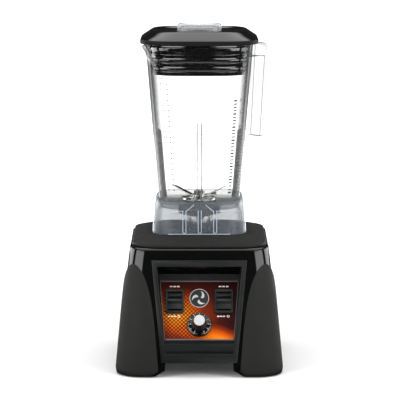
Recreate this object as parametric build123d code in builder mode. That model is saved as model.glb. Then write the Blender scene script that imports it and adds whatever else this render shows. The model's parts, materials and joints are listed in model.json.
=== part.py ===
"""Countertop blender: base with motor and controls, jar with blades, and lid. Millimetres, +Z up, front towards -Y."""

import os
from math import cos, radians, sin

from build123d import *

os.makedirs("parts", exist_ok=True)

# Base body: rounded-square sections as height, half width, half depth and corner radius
BASE_SECTIONS = [
    (1.2, 107.5, 113, 33),
    (53, 102.7, 107.5, 32),
    (106, 97.7, 101.5, 30.5),
    (148, 92.2, 93.8, 29),
    (163.5, 89.6, 90.6, 28),
]
BASE_TOP = BASE_SECTIONS[-1][0]
BASE_WALL = 3.0
DECK_WALL = 4.0
FOOT_TOP = 19.0
ARCH_HALF_FRONT = 44.0
ARCH_HALF_SIDE = 48.0
LEG_FLARE_TOP = 9.0
LEG_FLARE_SLOPE = 1.75
DECK_HOLE_R = 24.0

# Leg covers: half width across the corner at each height, bottom to top
PAD_THICKNESS = 1.4
PAD_BOTTOM = 1.4
PAD_APEX = 143.0

# Rubber feet and base plate
FOOT_R = 11.0
FOOT_RECESS = 3.0
FOOT_X = 79.0
FOOT_Y = 84.0
BASE_PLATE_THICKNESS = 3.0

# Control recess: the label plane leans back from the vertical
LABEL_LEAN = 29.0
LABEL_LOW_Y = -104.0
LABEL_LOW_Z = 48.7
LABEL_LENGTH = 76.4
LABEL_HALF_LOW = 44.0
LABEL_HALF_HIGH = 50.0
LABEL_THICKNESS = 0.8
LABEL_PLATE = 3.0
BEZEL_TOP_Z = 149.0
BEZEL_BOTTOM_Z = 19.0
BEZEL_HALF_TOP = 61.0
BEZEL_HALF_BOTTOM = 48.5
RECESS_TOP_Z = 141.0
RECESS_BACK_Y = -58.0
RECESS_TOP_Y = -67.5
COVE_Y = -60.0
COVE_Z = 131.0
SHELF_Z = 124.0

# Switches and dial, placed on the label plane as distance up the plane from its lower edge
SWITCH_X = 31.5
SWITCH_UP = 50.0
SWITCH_WIDTH = 23.5
SWITCH_HEIGHT = 32.0
PADDLE_WIDTH = 18.0
PADDLE_HEIGHT = 22.5
PADDLE_GAP = 0.5
DIAL_UP = 18.5
DIAL_SKIRT_R = 15.6
DIAL_SKIRT_HEIGHT = 3.0
DIAL_GRIP_R = 10.0
DIAL_HEIGHT = 22.2
DIAL_CAP_R = 7.0
CONTROL_SHAFT_R = 3.0
RUNNING_GAP = 0.05
CLEARANCE = 0.35

# Jar pad
JAR_PAD_HALF_LOW = 86.5
JAR_PAD_HALF_HIGH = 66.0
JAR_PAD_TOP = 175.0
JAR_PAD_HOLE_R = 22.0

# Jar: outer half width and corner radius at its bottom and top, wall and floor
JAR_BOTTOM = 207.0
JAR_RIM = 420.5
JAR_HALF_BOTTOM = 52.5
JAR_HALF_TOP = 70.0
JAR_CORNER_BOTTOM = 26.0
JAR_CORNER_TOP = 38.0
JAR_WALL = 3.6
JAR_FLOOR = 5.0
JAR_FLOOR_HOLE_R = 19.0
JAR_RIB_TOP = 307.0
JAR_RIB_DEPTH = 7.0
JAR_RIB_WIDTH = 5.0
SPOUT_TIP = 75.0

# Handle at the rear-right corner, in the plane of that diagonal
GRIP_HALF_WIDTH = 12.0
GRIP_THICKNESS = 7.5
GRIP_OUT_TOP = 119.0
GRIP_OUT_BOTTOM = 110.0
GRIP_BOTTOM_Z = 288.0
GRIP_TOP_Z = 414.0
GRIP_TOP_FILLET = 9.0
BRIDGE_BOTTOM_Z = 396.0

# Boot under the jar
BOOT_BOTTOM = 175.3
BOOT_TOP = 219.0
BOOT_HALF_BOTTOM = 61.5
BOOT_HALF_TOP = 57.0
BOOT_CORNER = 28.0
BOOT_WALL = 3.2
BOOT_RIB_X = 20.5

# Lid and cap
LID_FLANGE_HALF = 76.0
LID_FLANGE_BOTTOM = 421.0
LID_FLANGE_TOP = 427.0
LID_RIDGE_HALF = 61.0
LID_TOP = 437.0
LID_PLUG_HALF = 64.6
LID_PLUG_BOTTOM = 381.0
LID_WALL = 3.0
LID_HOLE_R = 26.0
LID_RING_HEIGHTS = (386.0, 397.0, 408.0)
CAP_R = 29.0
CAP_TOP = 443.8
CAP_PLUG_R = 25.6
CAP_BOTTOM = 418.0
CAP_WALL = 2.5

# Drive line on the machine's axis
SHAFT_R = 4.0
SHAFT_BOTTOM = 26.0
SHAFT_TOP = 176.0
STAR_R = 13.0
STAR_BOTTOM = 170.0
STAR_TOP = 186.0
SOCKET_R = 17.0
SOCKET_BOTTOM = 178.0
SOCKET_TOP = 193.0
BLADE_SHAFT_R = 4.0
BLADE_SHAFT_BOTTOM = 184.0
BLADE_SHAFT_TOP = 224.0
STATOR_HALF = 42.0
STATOR_LOW = 66.0
STATOR_HIGH = 112.0
ROTOR_R = 24.5

# Remaining base details
COLUMN_X = 68.0
COLUMN_Y = 62.0
COLUMN_R = 5.0
SCREW_R = 1.9
SCREW_LENGTH = 14.0
INLET_X = -32.0
INLET_Z = 44.0
INLET_BODY_R = 8.0
INLET_BORE_R = 4.2
INLET_LENGTH = 20.0
INLET_OUTER_Y = 112.5
PAD_SHIFT = 2.0
PAD_HALF_LOW = 42.0
PAD_HALF_MID = 36.5
PAD_HALF_UPPER = 31.0
PAD_HALF_HIGH = 21.5
BEZEL_RAIL = 6.0
GROOVE_HEIGHTS = (32.6, 45.4)
SWITCH_BODY_WIDTH = 19.0
SWITCH_BODY_HEIGHT = 26.0
SWITCH_BODY_DEPTH = 18.0
SWITCH_BODY_TOP = -1.6
SWITCH_FRAME_HEIGHT = 2.6
PIVOT_LIFT = 1.3
PIN_R = 0.8
PIN_LENGTH = 1.2
PADDLE_TILT = 8.0
BUSHING_R = 4.8
BOARD_Y = 78.0
BOARD_WIDTH = 80.0
BOARD_HEIGHT = 66.0

# Motor details
BOLT_X = 33.0
BOLT_R = 2.5
COIL_HEIGHT = 9.0
COMMUTATOR_LOW = 42.0
COMMUTATOR_HIGH = 54.0
COMMUTATOR_R = 12.0
LOWER_BEARING_Z = 30.0
UPPER_BEARING_Z = 124.0
BEARING_HEIGHT = 7.0
BEARING_R = 11.0
BRUSH_X = 21.0
BRUSH_LENGTH = 17.0
FAN_LOW = 133.5
FAN_HEIGHT = 13.0
FAN_R = 40.0
STAR_ROOT_R = 9.5
STAR_GAP = 0.6
BLADE_BEARING_R = 9.0

# Remaining pad, jar and lid details
JAR_PAD_EDGE = 4.2
SPOUT_BOTTOM = 397.0
SPOUT_ROOT = 57.0
BOOT_WEB = 4.0
LID_CORNER = 42.0
LID_DISH = 3.0
LID_PLUG_GAP = 1.4
LID_RING_GAP = 0.4
LID_COLLAR_BOTTOM = 418.0


def save(part, name):
    """Labels a finished piece and writes it as its own STEP file."""
    part.label = name
    export_step(part, f"parts/{name}.step")


def section_at(z):
    """Half width, half depth and corner radius of the base body at a height."""
    for low, high in zip(BASE_SECTIONS, BASE_SECTIONS[1:]):
        if z <= high[0]:
            t = (z - low[0]) / (high[0] - low[0])
            return [a + (b - a) * t for a, b in zip(low[1:], high[1:])]
    return list(BASE_SECTIONS[-1][1:])


def body_loft(inset, bottom, top):
    """Solid of the base body's form, drawn in by an inset, between two heights."""
    inner = [z for z, *_ in BASE_SECTIONS if bottom < z < top]
    with BuildPart() as form:
        for z in [bottom, *inner, top]:
            half_x, half_y, corner = section_at(z)
            with BuildSketch(Plane.XY.offset(z)):
                RectangleRounded(2 * (half_x - inset), 2 * (half_y - inset), corner - inset)
        loft(ruled=True)
    return form.part


def square_loft(low_z, low_half, low_corner, high_z, high_half, high_corner):
    """Tapered solid with rounded-square ends."""
    with BuildPart() as form:
        with BuildSketch(Plane.XY.offset(low_z)):
            RectangleRounded(2 * low_half, 2 * low_half, low_corner)
        with BuildSketch(Plane.XY.offset(high_z)):
            RectangleRounded(2 * high_half, 2 * high_half, high_corner)
        loft(ruled=True)
    return form.part


def jar_half(z):
    """Outer half width of the jar's wall at a height."""
    return JAR_HALF_BOTTOM + (JAR_HALF_TOP - JAR_HALF_BOTTOM) * (z - JAR_BOTTOM) / (JAR_RIM - JAR_BOTTOM)


def jar_corner(z):
    """Outer corner radius of the jar's wall at a height."""
    return JAR_CORNER_BOTTOM + (JAR_CORNER_TOP - JAR_CORNER_BOTTOM) * (z - JAR_BOTTOM) / (JAR_RIM - JAR_BOTTOM)


def jar_form(inset, low_z, high_z):
    """Solid of the jar's form, drawn in by an inset, between two heights."""
    return square_loft(
        low_z,
        jar_half(low_z) - inset,
        jar_corner(low_z) - inset,
        high_z,
        jar_half(high_z) - inset,
        jar_corner(high_z) - inset,
    )


def on_label(up, across=0.0, lift=0.0):
    """Plane on the label's face, its X across the machine, its Y up the slope and its Z outwards."""
    lean = radians(LABEL_LEAN)
    origin = (
        across,
        LABEL_LOW_Y + up * sin(lean) - lift * cos(lean),
        LABEL_LOW_Z + up * cos(lean) + lift * sin(lean),
    )
    return Plane(origin=origin, x_dir=(1, 0, 0), z_dir=(0, -cos(lean), sin(lean)))


def bezel_half(z):
    """Half width of the bezel at a height."""
    t = (z - BEZEL_BOTTOM_Z) / (BEZEL_TOP_Z - BEZEL_BOTTOM_Z)
    return BEZEL_HALF_BOTTOM + (BEZEL_HALF_TOP - BEZEL_HALF_BOTTOM) * t


def front_wedge(inset, low_z, high_z, back_y):
    """Block that reaches from in front of the base back to a depth, within the bezel's tapering outline."""
    with BuildPart() as wedge:
        with BuildSketch(Plane.XZ.offset(130)):
            with BuildLine():
                Polyline(
                    (-bezel_half(low_z) + inset, low_z),
                    (bezel_half(low_z) - inset, low_z),
                    (bezel_half(high_z) - inset, high_z),
                    (-bezel_half(high_z) + inset, high_z),
                    close=True,
                )
            make_face()
        extrude(amount=-(130 + back_y))
    return wedge.part


# --- Base casing -------------------------------------------------------------------------------

outer_body = body_loft(0, BASE_SECTIONS[0][0], BASE_TOP)
inner_body = body_loft(BASE_WALL, BASE_SECTIONS[0][0] - 1, BASE_TOP - DECK_WALL)


def flare(half, plane):
    """Wedge across the machine that bevels the lower inner corners of the legs on both sides of an arch."""
    low_z = BASE_SECTIONS[0][0] - 1
    reach = half + LEG_FLARE_SLOPE * (LEG_FLARE_TOP - low_z)
    with BuildPart() as wedge:
        with BuildSketch(plane):
            with BuildLine():
                Polyline((-reach, low_z), (-half, LEG_FLARE_TOP), (half, LEG_FLARE_TOP), (reach, low_z), close=True)
            make_face()
        extrude(amount=150, both=True)
    return wedge.part


leg_flares = flare(ARCH_HALF_FRONT, Plane.XZ) + flare(ARCH_HALF_SIDE, Plane.YZ)

with BuildPart() as leg_blocks:
    with BuildSketch(Plane.XY.offset(BASE_SECTIONS[0][0])):
        with GridLocations(2 * (ARCH_HALF_FRONT + 50), 2 * (ARCH_HALF_SIDE + 50), 2, 2):
            RectangleRounded(100, 100, 12)
    extrude(amount=FOOT_TOP - BASE_SECTIONS[0][0])

# four closed legs, with the space between them open
legs = (outer_body & leg_blocks.part) - leg_flares

with BuildPart() as housing_shell:
    add(outer_body)
    add(inner_body, mode=Mode.SUBTRACT)
    with BuildSketch(Plane.XY):
        Rectangle(300, 300)
    extrude(amount=FOOT_TOP, mode=Mode.SUBTRACT)
    add(legs)
    add(front_wedge(0, BEZEL_BOTTOM_Z - 1, BEZEL_TOP_Z, -80), mode=Mode.SUBTRACT)
    # screw columns down to the base plate
    with BuildSketch(Plane.XY.offset(FOOT_TOP + BASE_PLATE_THICKNESS)):
        with GridLocations(2 * COLUMN_X, 2 * COLUMN_Y, 2, 2):
            Circle(COLUMN_R)
    extrude(amount=BASE_TOP - DECK_WALL - FOOT_TOP - BASE_PLATE_THICKNESS)
    with BuildSketch(Plane.XY.offset(FOOT_TOP + BASE_PLATE_THICKNESS)):
        with GridLocations(2 * COLUMN_X, 2 * COLUMN_Y, 2, 2):
            Circle(SCREW_R)
    extrude(amount=SCREW_LENGTH, mode=Mode.SUBTRACT)
    with BuildSketch(Plane.XY.offset(BASE_TOP)):
        Circle(DECK_HOLE_R)
    extrude(amount=-20, mode=Mode.SUBTRACT)
    # opening for the cord inlet in the rear wall
    with BuildSketch(Plane.XZ.offset(-120)):
        with Locations((INLET_X, INLET_Z)):
            Circle(INLET_BODY_R)
    extrude(amount=40, mode=Mode.SUBTRACT)
    with BuildSketch(Plane.XY.offset(BASE_SECTIONS[0][0])):
        with GridLocations(2 * FOOT_X, 2 * FOOT_Y, 2, 2):
            Circle(FOOT_R)
    extrude(amount=FOOT_RECESS, mode=Mode.SUBTRACT)
save(housing_shell.part, "housing_shell")

# matte covers over the four leg corners, each with a rounded arch at its top
cover_body = body_loft(-PAD_THICKNESS, PAD_BOTTOM, BASE_TOP)
for name, side, depth in (
    ("leg_pad_front_left", -1, -1),
    ("leg_pad_front_right", 1, -1),
    ("leg_pad_rear_left", -1, 1),
    ("leg_pad_rear_right", 1, 1),
):
    diagonal = Plane(origin=(0, 0, 0), x_dir=(-depth, side, 0), z_dir=(side, depth, 0))
    with BuildPart() as leg_pad:
        with BuildSketch(diagonal):
            with Locations((side * depth * PAD_SHIFT, 0)):
                with BuildLine():
                    arch = Spline(
                        (-PAD_HALF_MID, 45),
                        (-PAD_HALF_UPPER, 84),
                        (-PAD_HALF_HIGH, 120),
                        (0, PAD_APEX),
                        (PAD_HALF_HIGH, 120),
                        (PAD_HALF_UPPER, 84),
                        (PAD_HALF_MID, 45),
                    )
                    Polyline(arch @ 1, (PAD_HALF_LOW, PAD_BOTTOM), (-PAD_HALF_LOW, PAD_BOTTOM), arch @ 0)
                make_face()
        extrude(amount=200)
        add(cover_body, mode=Mode.INTERSECT)
        add(outer_body, mode=Mode.SUBTRACT)
        add(leg_flares, mode=Mode.SUBTRACT)
    save(leg_pad.part, name)

with BuildPart() as rubber_feet:
    with BuildSketch(Plane.XY):
        with GridLocations(2 * FOOT_X, 2 * FOOT_Y, 2, 2):
            Circle(FOOT_R)
    extrude(amount=BASE_SECTIONS[0][0] + FOOT_RECESS)
    chamfer(rubber_feet.faces().group_by(Axis.Z)[0].edges(), 0.8)
save(rubber_feet.part, "rubber_feet")

plate_half_x, plate_half_y, plate_corner = section_at(FOOT_TOP + BASE_PLATE_THICKNESS)
plate_inset = BASE_WALL + 0.3
with BuildPart() as base_plate:
    with BuildSketch(Plane.XY.offset(FOOT_TOP)):
        RectangleRounded(
            2 * (plate_half_x - plate_inset), 2 * (plate_half_y - plate_inset - 6), plate_corner - plate_inset
        )
        with GridLocations(2 * COLUMN_X, 2 * COLUMN_Y, 2, 2):
            Circle(SCREW_R, mode=Mode.SUBTRACT)
        with GridLocations(0, 9, 1, 9):
            SlotOverall(60, 4, mode=Mode.SUBTRACT)
    extrude(amount=BASE_PLATE_THICKNESS)
save(base_plate.part, "base_plate")

with BuildPart() as base_plate_screws:
    with BuildSketch(Plane.XY.offset(FOOT_TOP)):
        with GridLocations(2 * COLUMN_X, 2 * COLUMN_Y, 2, 2):
            Circle(SCREW_R)
    extrude(amount=SCREW_LENGTH)
save(base_plate_screws.part, "base_plate_screws")

with BuildPart() as cord_inlet:
    with BuildSketch(Plane.XZ.offset(-INLET_OUTER_Y)):
        with Locations((INLET_X, INLET_Z)):
            Circle(INLET_BODY_R)
    extrude(amount=INLET_LENGTH)
    with BuildSketch(Plane.XZ.offset(-INLET_OUTER_Y)):
        with Locations((INLET_X, INLET_Z)):
            Circle(INLET_BORE_R)
    extrude(amount=INLET_LENGTH, mode=Mode.SUBTRACT)
save(cord_inlet.part, "cord_inlet")

# --- Control panel ------------------------------------------------------------------------------


def across(points, half):
    """Block with an outline in the side view, reaching across the machine."""
    with BuildPart() as block:
        with BuildSketch(Plane.YZ):
            with BuildLine():
                Polyline(*points, close=True)
            make_face()
        extrude(amount=half, both=True)
    return block.part


def slope_point(up, lift):
    """Depth and height of a point on the label's slope in the side view."""
    origin = on_label(up, 0, lift).origin
    return (origin.Y, origin.Z)


recess_outline = [
    (-130, LABEL_LOW_Z - 0.5),
    slope_point(-0.5, -LABEL_THICKNESS),
    slope_point(LABEL_LENGTH + 0.5, -LABEL_THICKNESS),
    (RECESS_BACK_Y, SHELF_Z),
    (COVE_Y, COVE_Z),
    (RECESS_TOP_Y, RECESS_TOP_Z),
    (-130, RECESS_TOP_Z),
]
bezel_outline = [
    (-130, BEZEL_BOTTOM_Z),
    (-106, BEZEL_BOTTOM_Z),
    slope_point(-3, -LABEL_THICKNESS - LABEL_PLATE),
    slope_point(LABEL_LENGTH, -LABEL_THICKNESS - LABEL_PLATE),
    (RECESS_BACK_Y + 2.5, SHELF_Z - 1),
    (COVE_Y + 2.5, COVE_Z),
    (RECESS_TOP_Y + 2.5, RECESS_TOP_Z + 2.5),
    (-80, RECESS_TOP_Z + 2.5),
    (-80, BEZEL_TOP_Z),
    (-130, BEZEL_TOP_Z),
]

with BuildPart() as control_bezel:
    add(front_wedge(0.1, BEZEL_BOTTOM_Z, BEZEL_TOP_Z - 0.1, -50))
    add(body_loft(-1.0, BEZEL_BOTTOM_Z, BEZEL_TOP_Z), mode=Mode.INTERSECT)
    add(across(bezel_outline, 70), mode=Mode.INTERSECT)
    add(
        front_wedge(BEZEL_RAIL, BEZEL_BOTTOM_Z - 1, BEZEL_TOP_Z - 0.1, -50) & across(recess_outline, 70),
        mode=Mode.SUBTRACT,
    )
    for groove_z in GROOVE_HEIGHTS:
        groove = [(-130, groove_z - 2), (-107.5, groove_z - 2), (-107.5, groove_z + 1.5), (-130, groove_z + 1.5)]
        add(
            front_wedge(BEZEL_RAIL, BEZEL_BOTTOM_Z - 1, BEZEL_TOP_Z - 0.1, -50) & across(groove, 70),
            mode=Mode.SUBTRACT,
        )
    for side in (-1, 1):
        with BuildSketch(on_label(SWITCH_UP, side * SWITCH_X, 5)):
            Rectangle(SWITCH_BODY_WIDTH + 0.2, SWITCH_BODY_HEIGHT + 0.2)
        extrude(amount=-20, mode=Mode.SUBTRACT)
    with BuildSketch(on_label(DIAL_UP, 0, 5)):
        Circle(BUSHING_R)
    extrude(amount=-20, mode=Mode.SUBTRACT)
save(control_bezel.part, "control_bezel")

with BuildPart() as control_label:
    with BuildSketch(on_label(0, 0, -LABEL_THICKNESS)):
        with BuildLine():
            Polyline(
                (-LABEL_HALF_LOW, 0),
                (LABEL_HALF_LOW, 0),
                (LABEL_HALF_HIGH, LABEL_LENGTH),
                (-LABEL_HALF_HIGH, LABEL_LENGTH),
                close=True,
            )
        make_face()
        with Locations((-SWITCH_X, SWITCH_UP), (SWITCH_X, SWITCH_UP)):
            Rectangle(SWITCH_BODY_WIDTH + 0.2, SWITCH_BODY_HEIGHT + 0.2, mode=Mode.SUBTRACT)
        with Locations((0, DIAL_UP)):
            Circle(BUSHING_R, mode=Mode.SUBTRACT)
    extrude(amount=LABEL_THICKNESS)
save(control_label.part, "control_label")

for name, side in (("run", -1), ("power", 1)):
    x = side * SWITCH_X
    with BuildPart() as switch_frame:
        with BuildSketch(on_label(SWITCH_UP, x, 0)):
            RectangleRounded(SWITCH_WIDTH, SWITCH_HEIGHT, 2.5)
            Rectangle(PADDLE_WIDTH + 2 * PADDLE_GAP, PADDLE_HEIGHT + 3, mode=Mode.SUBTRACT)
        extrude(amount=SWITCH_FRAME_HEIGHT)
        pivot = on_label(SWITCH_UP, x, PIVOT_LIFT)
        with BuildSketch(Plane(origin=pivot.origin, x_dir=(0, 1, 0), z_dir=(1, 0, 0))):
            Circle(PIN_R + RUNNING_GAP)
        extrude(amount=PADDLE_WIDTH / 2 + PIN_LENGTH + 0.2, both=True, mode=Mode.SUBTRACT)
    save(switch_frame.part, f"{name}_switch_frame")

    with BuildPart() as switch_body:
        with BuildSketch(on_label(SWITCH_UP, x, SWITCH_BODY_TOP)):
            Rectangle(SWITCH_BODY_WIDTH, SWITCH_BODY_HEIGHT)
        extrude(amount=-SWITCH_BODY_DEPTH)
        with BuildSketch(on_label(SWITCH_UP, x, SWITCH_BODY_TOP - SWITCH_BODY_DEPTH)):
            with GridLocations(8, 8, 2, 2):
                Rectangle(0.8, 5)
        extrude(amount=-6)
    save(switch_body.part, f"{name}_switch_body")

    # rocking paddle, resting with its upper half pressed in
    with BuildPart() as paddle:
        tilt = radians(PADDLE_TILT)
        tilted_up = pivot.y_dir * cos(tilt) - pivot.z_dir * sin(tilt)
        side_view = Plane(origin=pivot.origin, x_dir=tilted_up, z_dir=(1, 0, 0))
        with BuildSketch(side_view):
            with BuildLine():
                half = PADDLE_HEIGHT / 2
                Polyline((-half, -0.2), (0, -1.8), (half, -0.2), (half, 1.6))
                ThreePointArc((half, 1.6), (6, 1.0), (1.4, 4.8))
                Polyline((1.4, 4.8), (-1.6, 4.8), (-4.5, 2.2), (-half, 1.6), (-half, -0.2))
            make_face()
        extrude(amount=PADDLE_WIDTH / 2, both=True)
        with BuildSketch(side_view):
            Circle(PIN_R)
        extrude(amount=PADDLE_WIDTH / 2 + PIN_LENGTH, both=True)
    save(paddle.part, f"{name}_paddle")

with BuildPart() as dial_shaft:
    with BuildSketch(on_label(DIAL_UP, 0, DIAL_HEIGHT - 5)):
        Circle(CONTROL_SHAFT_R)
    extrude(amount=-(DIAL_HEIGHT - 5 + 10))
save(dial_shaft.part, "dial_shaft")

with BuildPart() as dial_control:
    with BuildSketch(on_label(DIAL_UP, 0, -LABEL_THICKNESS - LABEL_PLATE)):
        Circle(12)
    extrude(amount=-12)
    with BuildSketch(on_label(DIAL_UP, 0, -LABEL_THICKNESS - LABEL_PLATE)):
        Circle(BUSHING_R - 0.1)
    extrude(amount=LABEL_THICKNESS + LABEL_PLATE + 0.1)
    with BuildSketch(on_label(DIAL_UP, 0, 5)):
        Circle(CONTROL_SHAFT_R + RUNNING_GAP)
    extrude(amount=-15.2, mode=Mode.SUBTRACT)
save(dial_control.part, "dial_control")

with BuildPart() as speed_dial:
    with BuildSketch(on_label(DIAL_UP, 0, CLEARANCE)):
        Circle(DIAL_SKIRT_R)
    extrude(amount=DIAL_SKIRT_HEIGHT, taper=12)
    with BuildSketch(on_label(DIAL_UP, 0, CLEARANCE)):
        Circle(DIAL_GRIP_R)
    extrude(amount=DIAL_HEIGHT - CLEARANCE, taper=6)
    with BuildSketch(on_label(DIAL_UP, 0, CLEARANCE)):
        with PolarLocations(DIAL_GRIP_R + 0.6, 18):
            Circle(0.9)
    extrude(amount=DIAL_HEIGHT + 3, taper=0, mode=Mode.SUBTRACT)
    with BuildSketch(on_label(DIAL_UP, 0, 0)):
        Circle(CONTROL_SHAFT_R)
    extrude(amount=DIAL_HEIGHT - 5, mode=Mode.SUBTRACT)
    with BuildSketch(on_label(DIAL_UP, 0, DIAL_HEIGHT)):
        Circle(DIAL_CAP_R)
    extrude(amount=-0.8, mode=Mode.SUBTRACT)
save(speed_dial.part, "speed_dial")

with BuildPart() as dial_cap:
    with BuildSketch(on_label(DIAL_UP, 0, DIAL_HEIGHT - 0.8)):
        Circle(DIAL_CAP_R)
    extrude(amount=1.4)
save(dial_cap.part, "dial_cap")

with BuildPart() as control_board:
    with BuildSketch(Plane.XZ.offset(-BOARD_Y)):
        with Locations((0, FOOT_TOP + BASE_PLATE_THICKNESS + BOARD_HEIGHT / 2)):
            Rectangle(BOARD_WIDTH, BOARD_HEIGHT)
    extrude(amount=1.6)
    with BuildSketch(Plane.XZ.offset(-BOARD_Y + 1.6)):
        with Locations((-22, 50), (2, 62), (22, 45)):
            Rectangle(14, 18)
    extrude(amount=9)
save(control_board.part, "control_board")

# --- Motor ---------------------------------------------------------------------------------------


def ring(name, low, high, outer_r, inner_r):
    """Plain round piece on the machine's axis, with a bore."""
    with BuildPart() as piece:
        with BuildSketch(Plane.XY.offset(low)):
            Circle(outer_r)
            Circle(inner_r, mode=Mode.SUBTRACT)
        extrude(amount=high - low)
    save(piece.part, name)


def bolt_circles(radius):
    """Holes or rods at the motor's four corner bolts."""
    with GridLocations(2 * BOLT_X, 2 * BOLT_X, 2, 2):
        Circle(radius)


with BuildPart() as stator_core:
    with BuildSketch(Plane.XY.offset(STATOR_LOW)):
        RectangleRounded(2 * STATOR_HALF, 2 * STATOR_HALF, 14)
        Circle(ROTOR_R + 1, mode=Mode.SUBTRACT)
        with GridLocations(2 * BOLT_X, 2 * BOLT_X, 2, 2):
            Circle(BOLT_R + 0.05, mode=Mode.SUBTRACT)
    extrude(amount=STATOR_HIGH - STATOR_LOW)
save(stator_core.part, "stator_core")

with BuildPart() as field_coils:
    for low in (STATOR_LOW - COIL_HEIGHT, STATOR_HIGH):
        with BuildSketch(Plane.XY.offset(low)):
            Circle(37)
            Circle(ROTOR_R + 2.5, mode=Mode.SUBTRACT)
            Rectangle(80, 22, mode=Mode.SUBTRACT)
        extrude(amount=COIL_HEIGHT)
save(field_coils.part, "field_coils")

with BuildPart() as rotor:
    with BuildSketch(Plane.XY.offset(STATOR_LOW)):
        Circle(ROTOR_R)
        Circle(SHAFT_R, mode=Mode.SUBTRACT)
        with PolarLocations(ROTOR_R - 3, 16):
            Rectangle(8, 2.4, mode=Mode.SUBTRACT)
    extrude(amount=STATOR_HIGH - STATOR_LOW)
save(rotor.part, "rotor")

with BuildPart() as motor_shaft:
    with BuildSketch(Plane.XY.offset(SHAFT_BOTTOM)):
        Circle(SHAFT_R)
    extrude(amount=SHAFT_TOP - SHAFT_BOTTOM)
    chamfer(motor_shaft.edges().filter_by(GeomType.CIRCLE), 0.5)
save(motor_shaft.part, "motor_shaft")

ring("commutator", COMMUTATOR_LOW, COMMUTATOR_HIGH, COMMUTATOR_R, SHAFT_R)
ring("lower_bearing", LOWER_BEARING_Z, LOWER_BEARING_Z + BEARING_HEIGHT, BEARING_R, SHAFT_R + RUNNING_GAP)
ring("upper_bearing", UPPER_BEARING_Z, UPPER_BEARING_Z + BEARING_HEIGHT, BEARING_R, SHAFT_R + RUNNING_GAP)
ring("deck_seal", BASE_TOP - DECK_WALL, BASE_TOP, DECK_HOLE_R, SHAFT_R + 3)
ring("splash_slinger", BASE_TOP + 2, BASE_TOP + 4.5, 15, SHAFT_R)

brush_z = (COMMUTATOR_LOW + COMMUTATOR_HIGH) / 2
with BuildPart() as carbon_brushes:
    with Locations((-BRUSH_X, 0, brush_z), (BRUSH_X, 0, brush_z)):
        Box(BRUSH_LENGTH, 6, 7)
save(carbon_brushes.part, "carbon_brushes")

with BuildPart() as brush_holders:
    with Locations((-BRUSH_X - 3, 0, brush_z), (BRUSH_X + 3, 0, brush_z)):
        Box(BRUSH_LENGTH, 10, 10)
        Box(BRUSH_LENGTH + 1, 6, 7, mode=Mode.SUBTRACT)
save(brush_holders.part, "brush_holders")

for name, low in (("lower_bracket", LOWER_BEARING_Z), ("upper_bracket", UPPER_BEARING_Z)):
    with BuildPart() as bracket:
        with BuildSketch(Plane.XY.offset(low)):
            RectangleRounded(2 * STATOR_HALF, 22, 6)
            RectangleRounded(22, 2 * STATOR_HALF, 6)
            with GridLocations(2 * BOLT_X, 2 * BOLT_X, 2, 2):
                Circle(6)
            with PolarLocations(0, 2, start_angle=45, angular_range=180):
                Rectangle(2 * BOLT_X * 2**0.5, 9)
            Circle(BEARING_R, mode=Mode.SUBTRACT)
            with GridLocations(2 * BOLT_X, 2 * BOLT_X, 2, 2):
                Circle(BOLT_R + 0.05, mode=Mode.SUBTRACT)
        extrude(amount=BEARING_HEIGHT)
    save(bracket.part, name)

with BuildPart() as motor_bolts:
    with BuildSketch(Plane.XY.offset(LOWER_BEARING_Z)):
        bolt_circles(BOLT_R)
    extrude(amount=BASE_TOP - DECK_WALL - LOWER_BEARING_Z)
save(motor_bolts.part, "motor_bolts")

with BuildPart() as cooling_fan:
    with BuildSketch(Plane.XY.offset(FAN_LOW)):
        Circle(FAN_R)
        Circle(SHAFT_R, mode=Mode.SUBTRACT)
    extrude(amount=1.5)
    with BuildSketch(Plane.XY.offset(FAN_LOW)):
        Circle(9)
        Circle(SHAFT_R, mode=Mode.SUBTRACT)
    extrude(amount=FAN_HEIGHT)
    with BuildSketch(Plane.XY.offset(FAN_LOW)):
        with PolarLocations(24, 9):
            Rectangle(26, 1.4, rotation=25)
    extrude(amount=FAN_HEIGHT)
save(cooling_fan.part, "cooling_fan")


def star(gap):
    """Six-lobed drive outline, grown by a gap."""
    Circle(STAR_ROOT_R + gap)
    with PolarLocations(STAR_ROOT_R, 6):
        Circle(STAR_R - STAR_ROOT_R + gap)


with BuildPart() as drive_coupling:
    with BuildSketch(Plane.XY.offset(STAR_BOTTOM)):
        star(0)
    extrude(amount=STAR_TOP - STAR_BOTTOM)
    with BuildSketch(Plane.XY.offset(STAR_BOTTOM)):
        Circle(SHAFT_R)
    extrude(amount=SHAFT_TOP - STAR_BOTTOM, mode=Mode.SUBTRACT)
save(drive_coupling.part, "drive_coupling")

# --- Jar pad --------------------------------------------------------------------------------------

with BuildPart() as jar_pad:
    pad_low = BASE_TOP + CLEARANCE
    with BuildSketch(Plane.XY.offset(pad_low)):
        RectangleRounded(2 * JAR_PAD_HALF_LOW, 2 * JAR_PAD_HALF_LOW, 30)
    extrude(amount=JAR_PAD_EDGE)
    add(square_loft(pad_low + JAR_PAD_EDGE, JAR_PAD_HALF_LOW, 30, JAR_PAD_TOP, JAR_PAD_HALF_HIGH, 34))
    with BuildSketch(Plane.XY.offset(pad_low)):
        Circle(JAR_PAD_HOLE_R)
    extrude(amount=30, mode=Mode.SUBTRACT)
save(jar_pad.part, "jar_pad")

# --- Jar ------------------------------------------------------------------------------------------


def spout_solid(inset, low_z, high_z):
    """Beak at the front-left corner, wide at the rim and narrowing to the wall below."""
    with BuildPart() as beak:
        for z, tip, side in ((low_z, SPOUT_ROOT, 34), (high_z, SPOUT_TIP, 31)):
            wall = jar_half(z) - inset
            with BuildSketch(Plane.XY.offset(z)):
                with BuildLine():
                    Polyline(
                        (-side, -wall + 0.6),
                        (-tip + inset * 1.2, -tip + inset * 1.2),
                        (-wall + 0.6, -side),
                        (-25, -25),
                        close=True,
                    )
                make_face()
        loft(ruled=True)
    return beak.part


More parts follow.
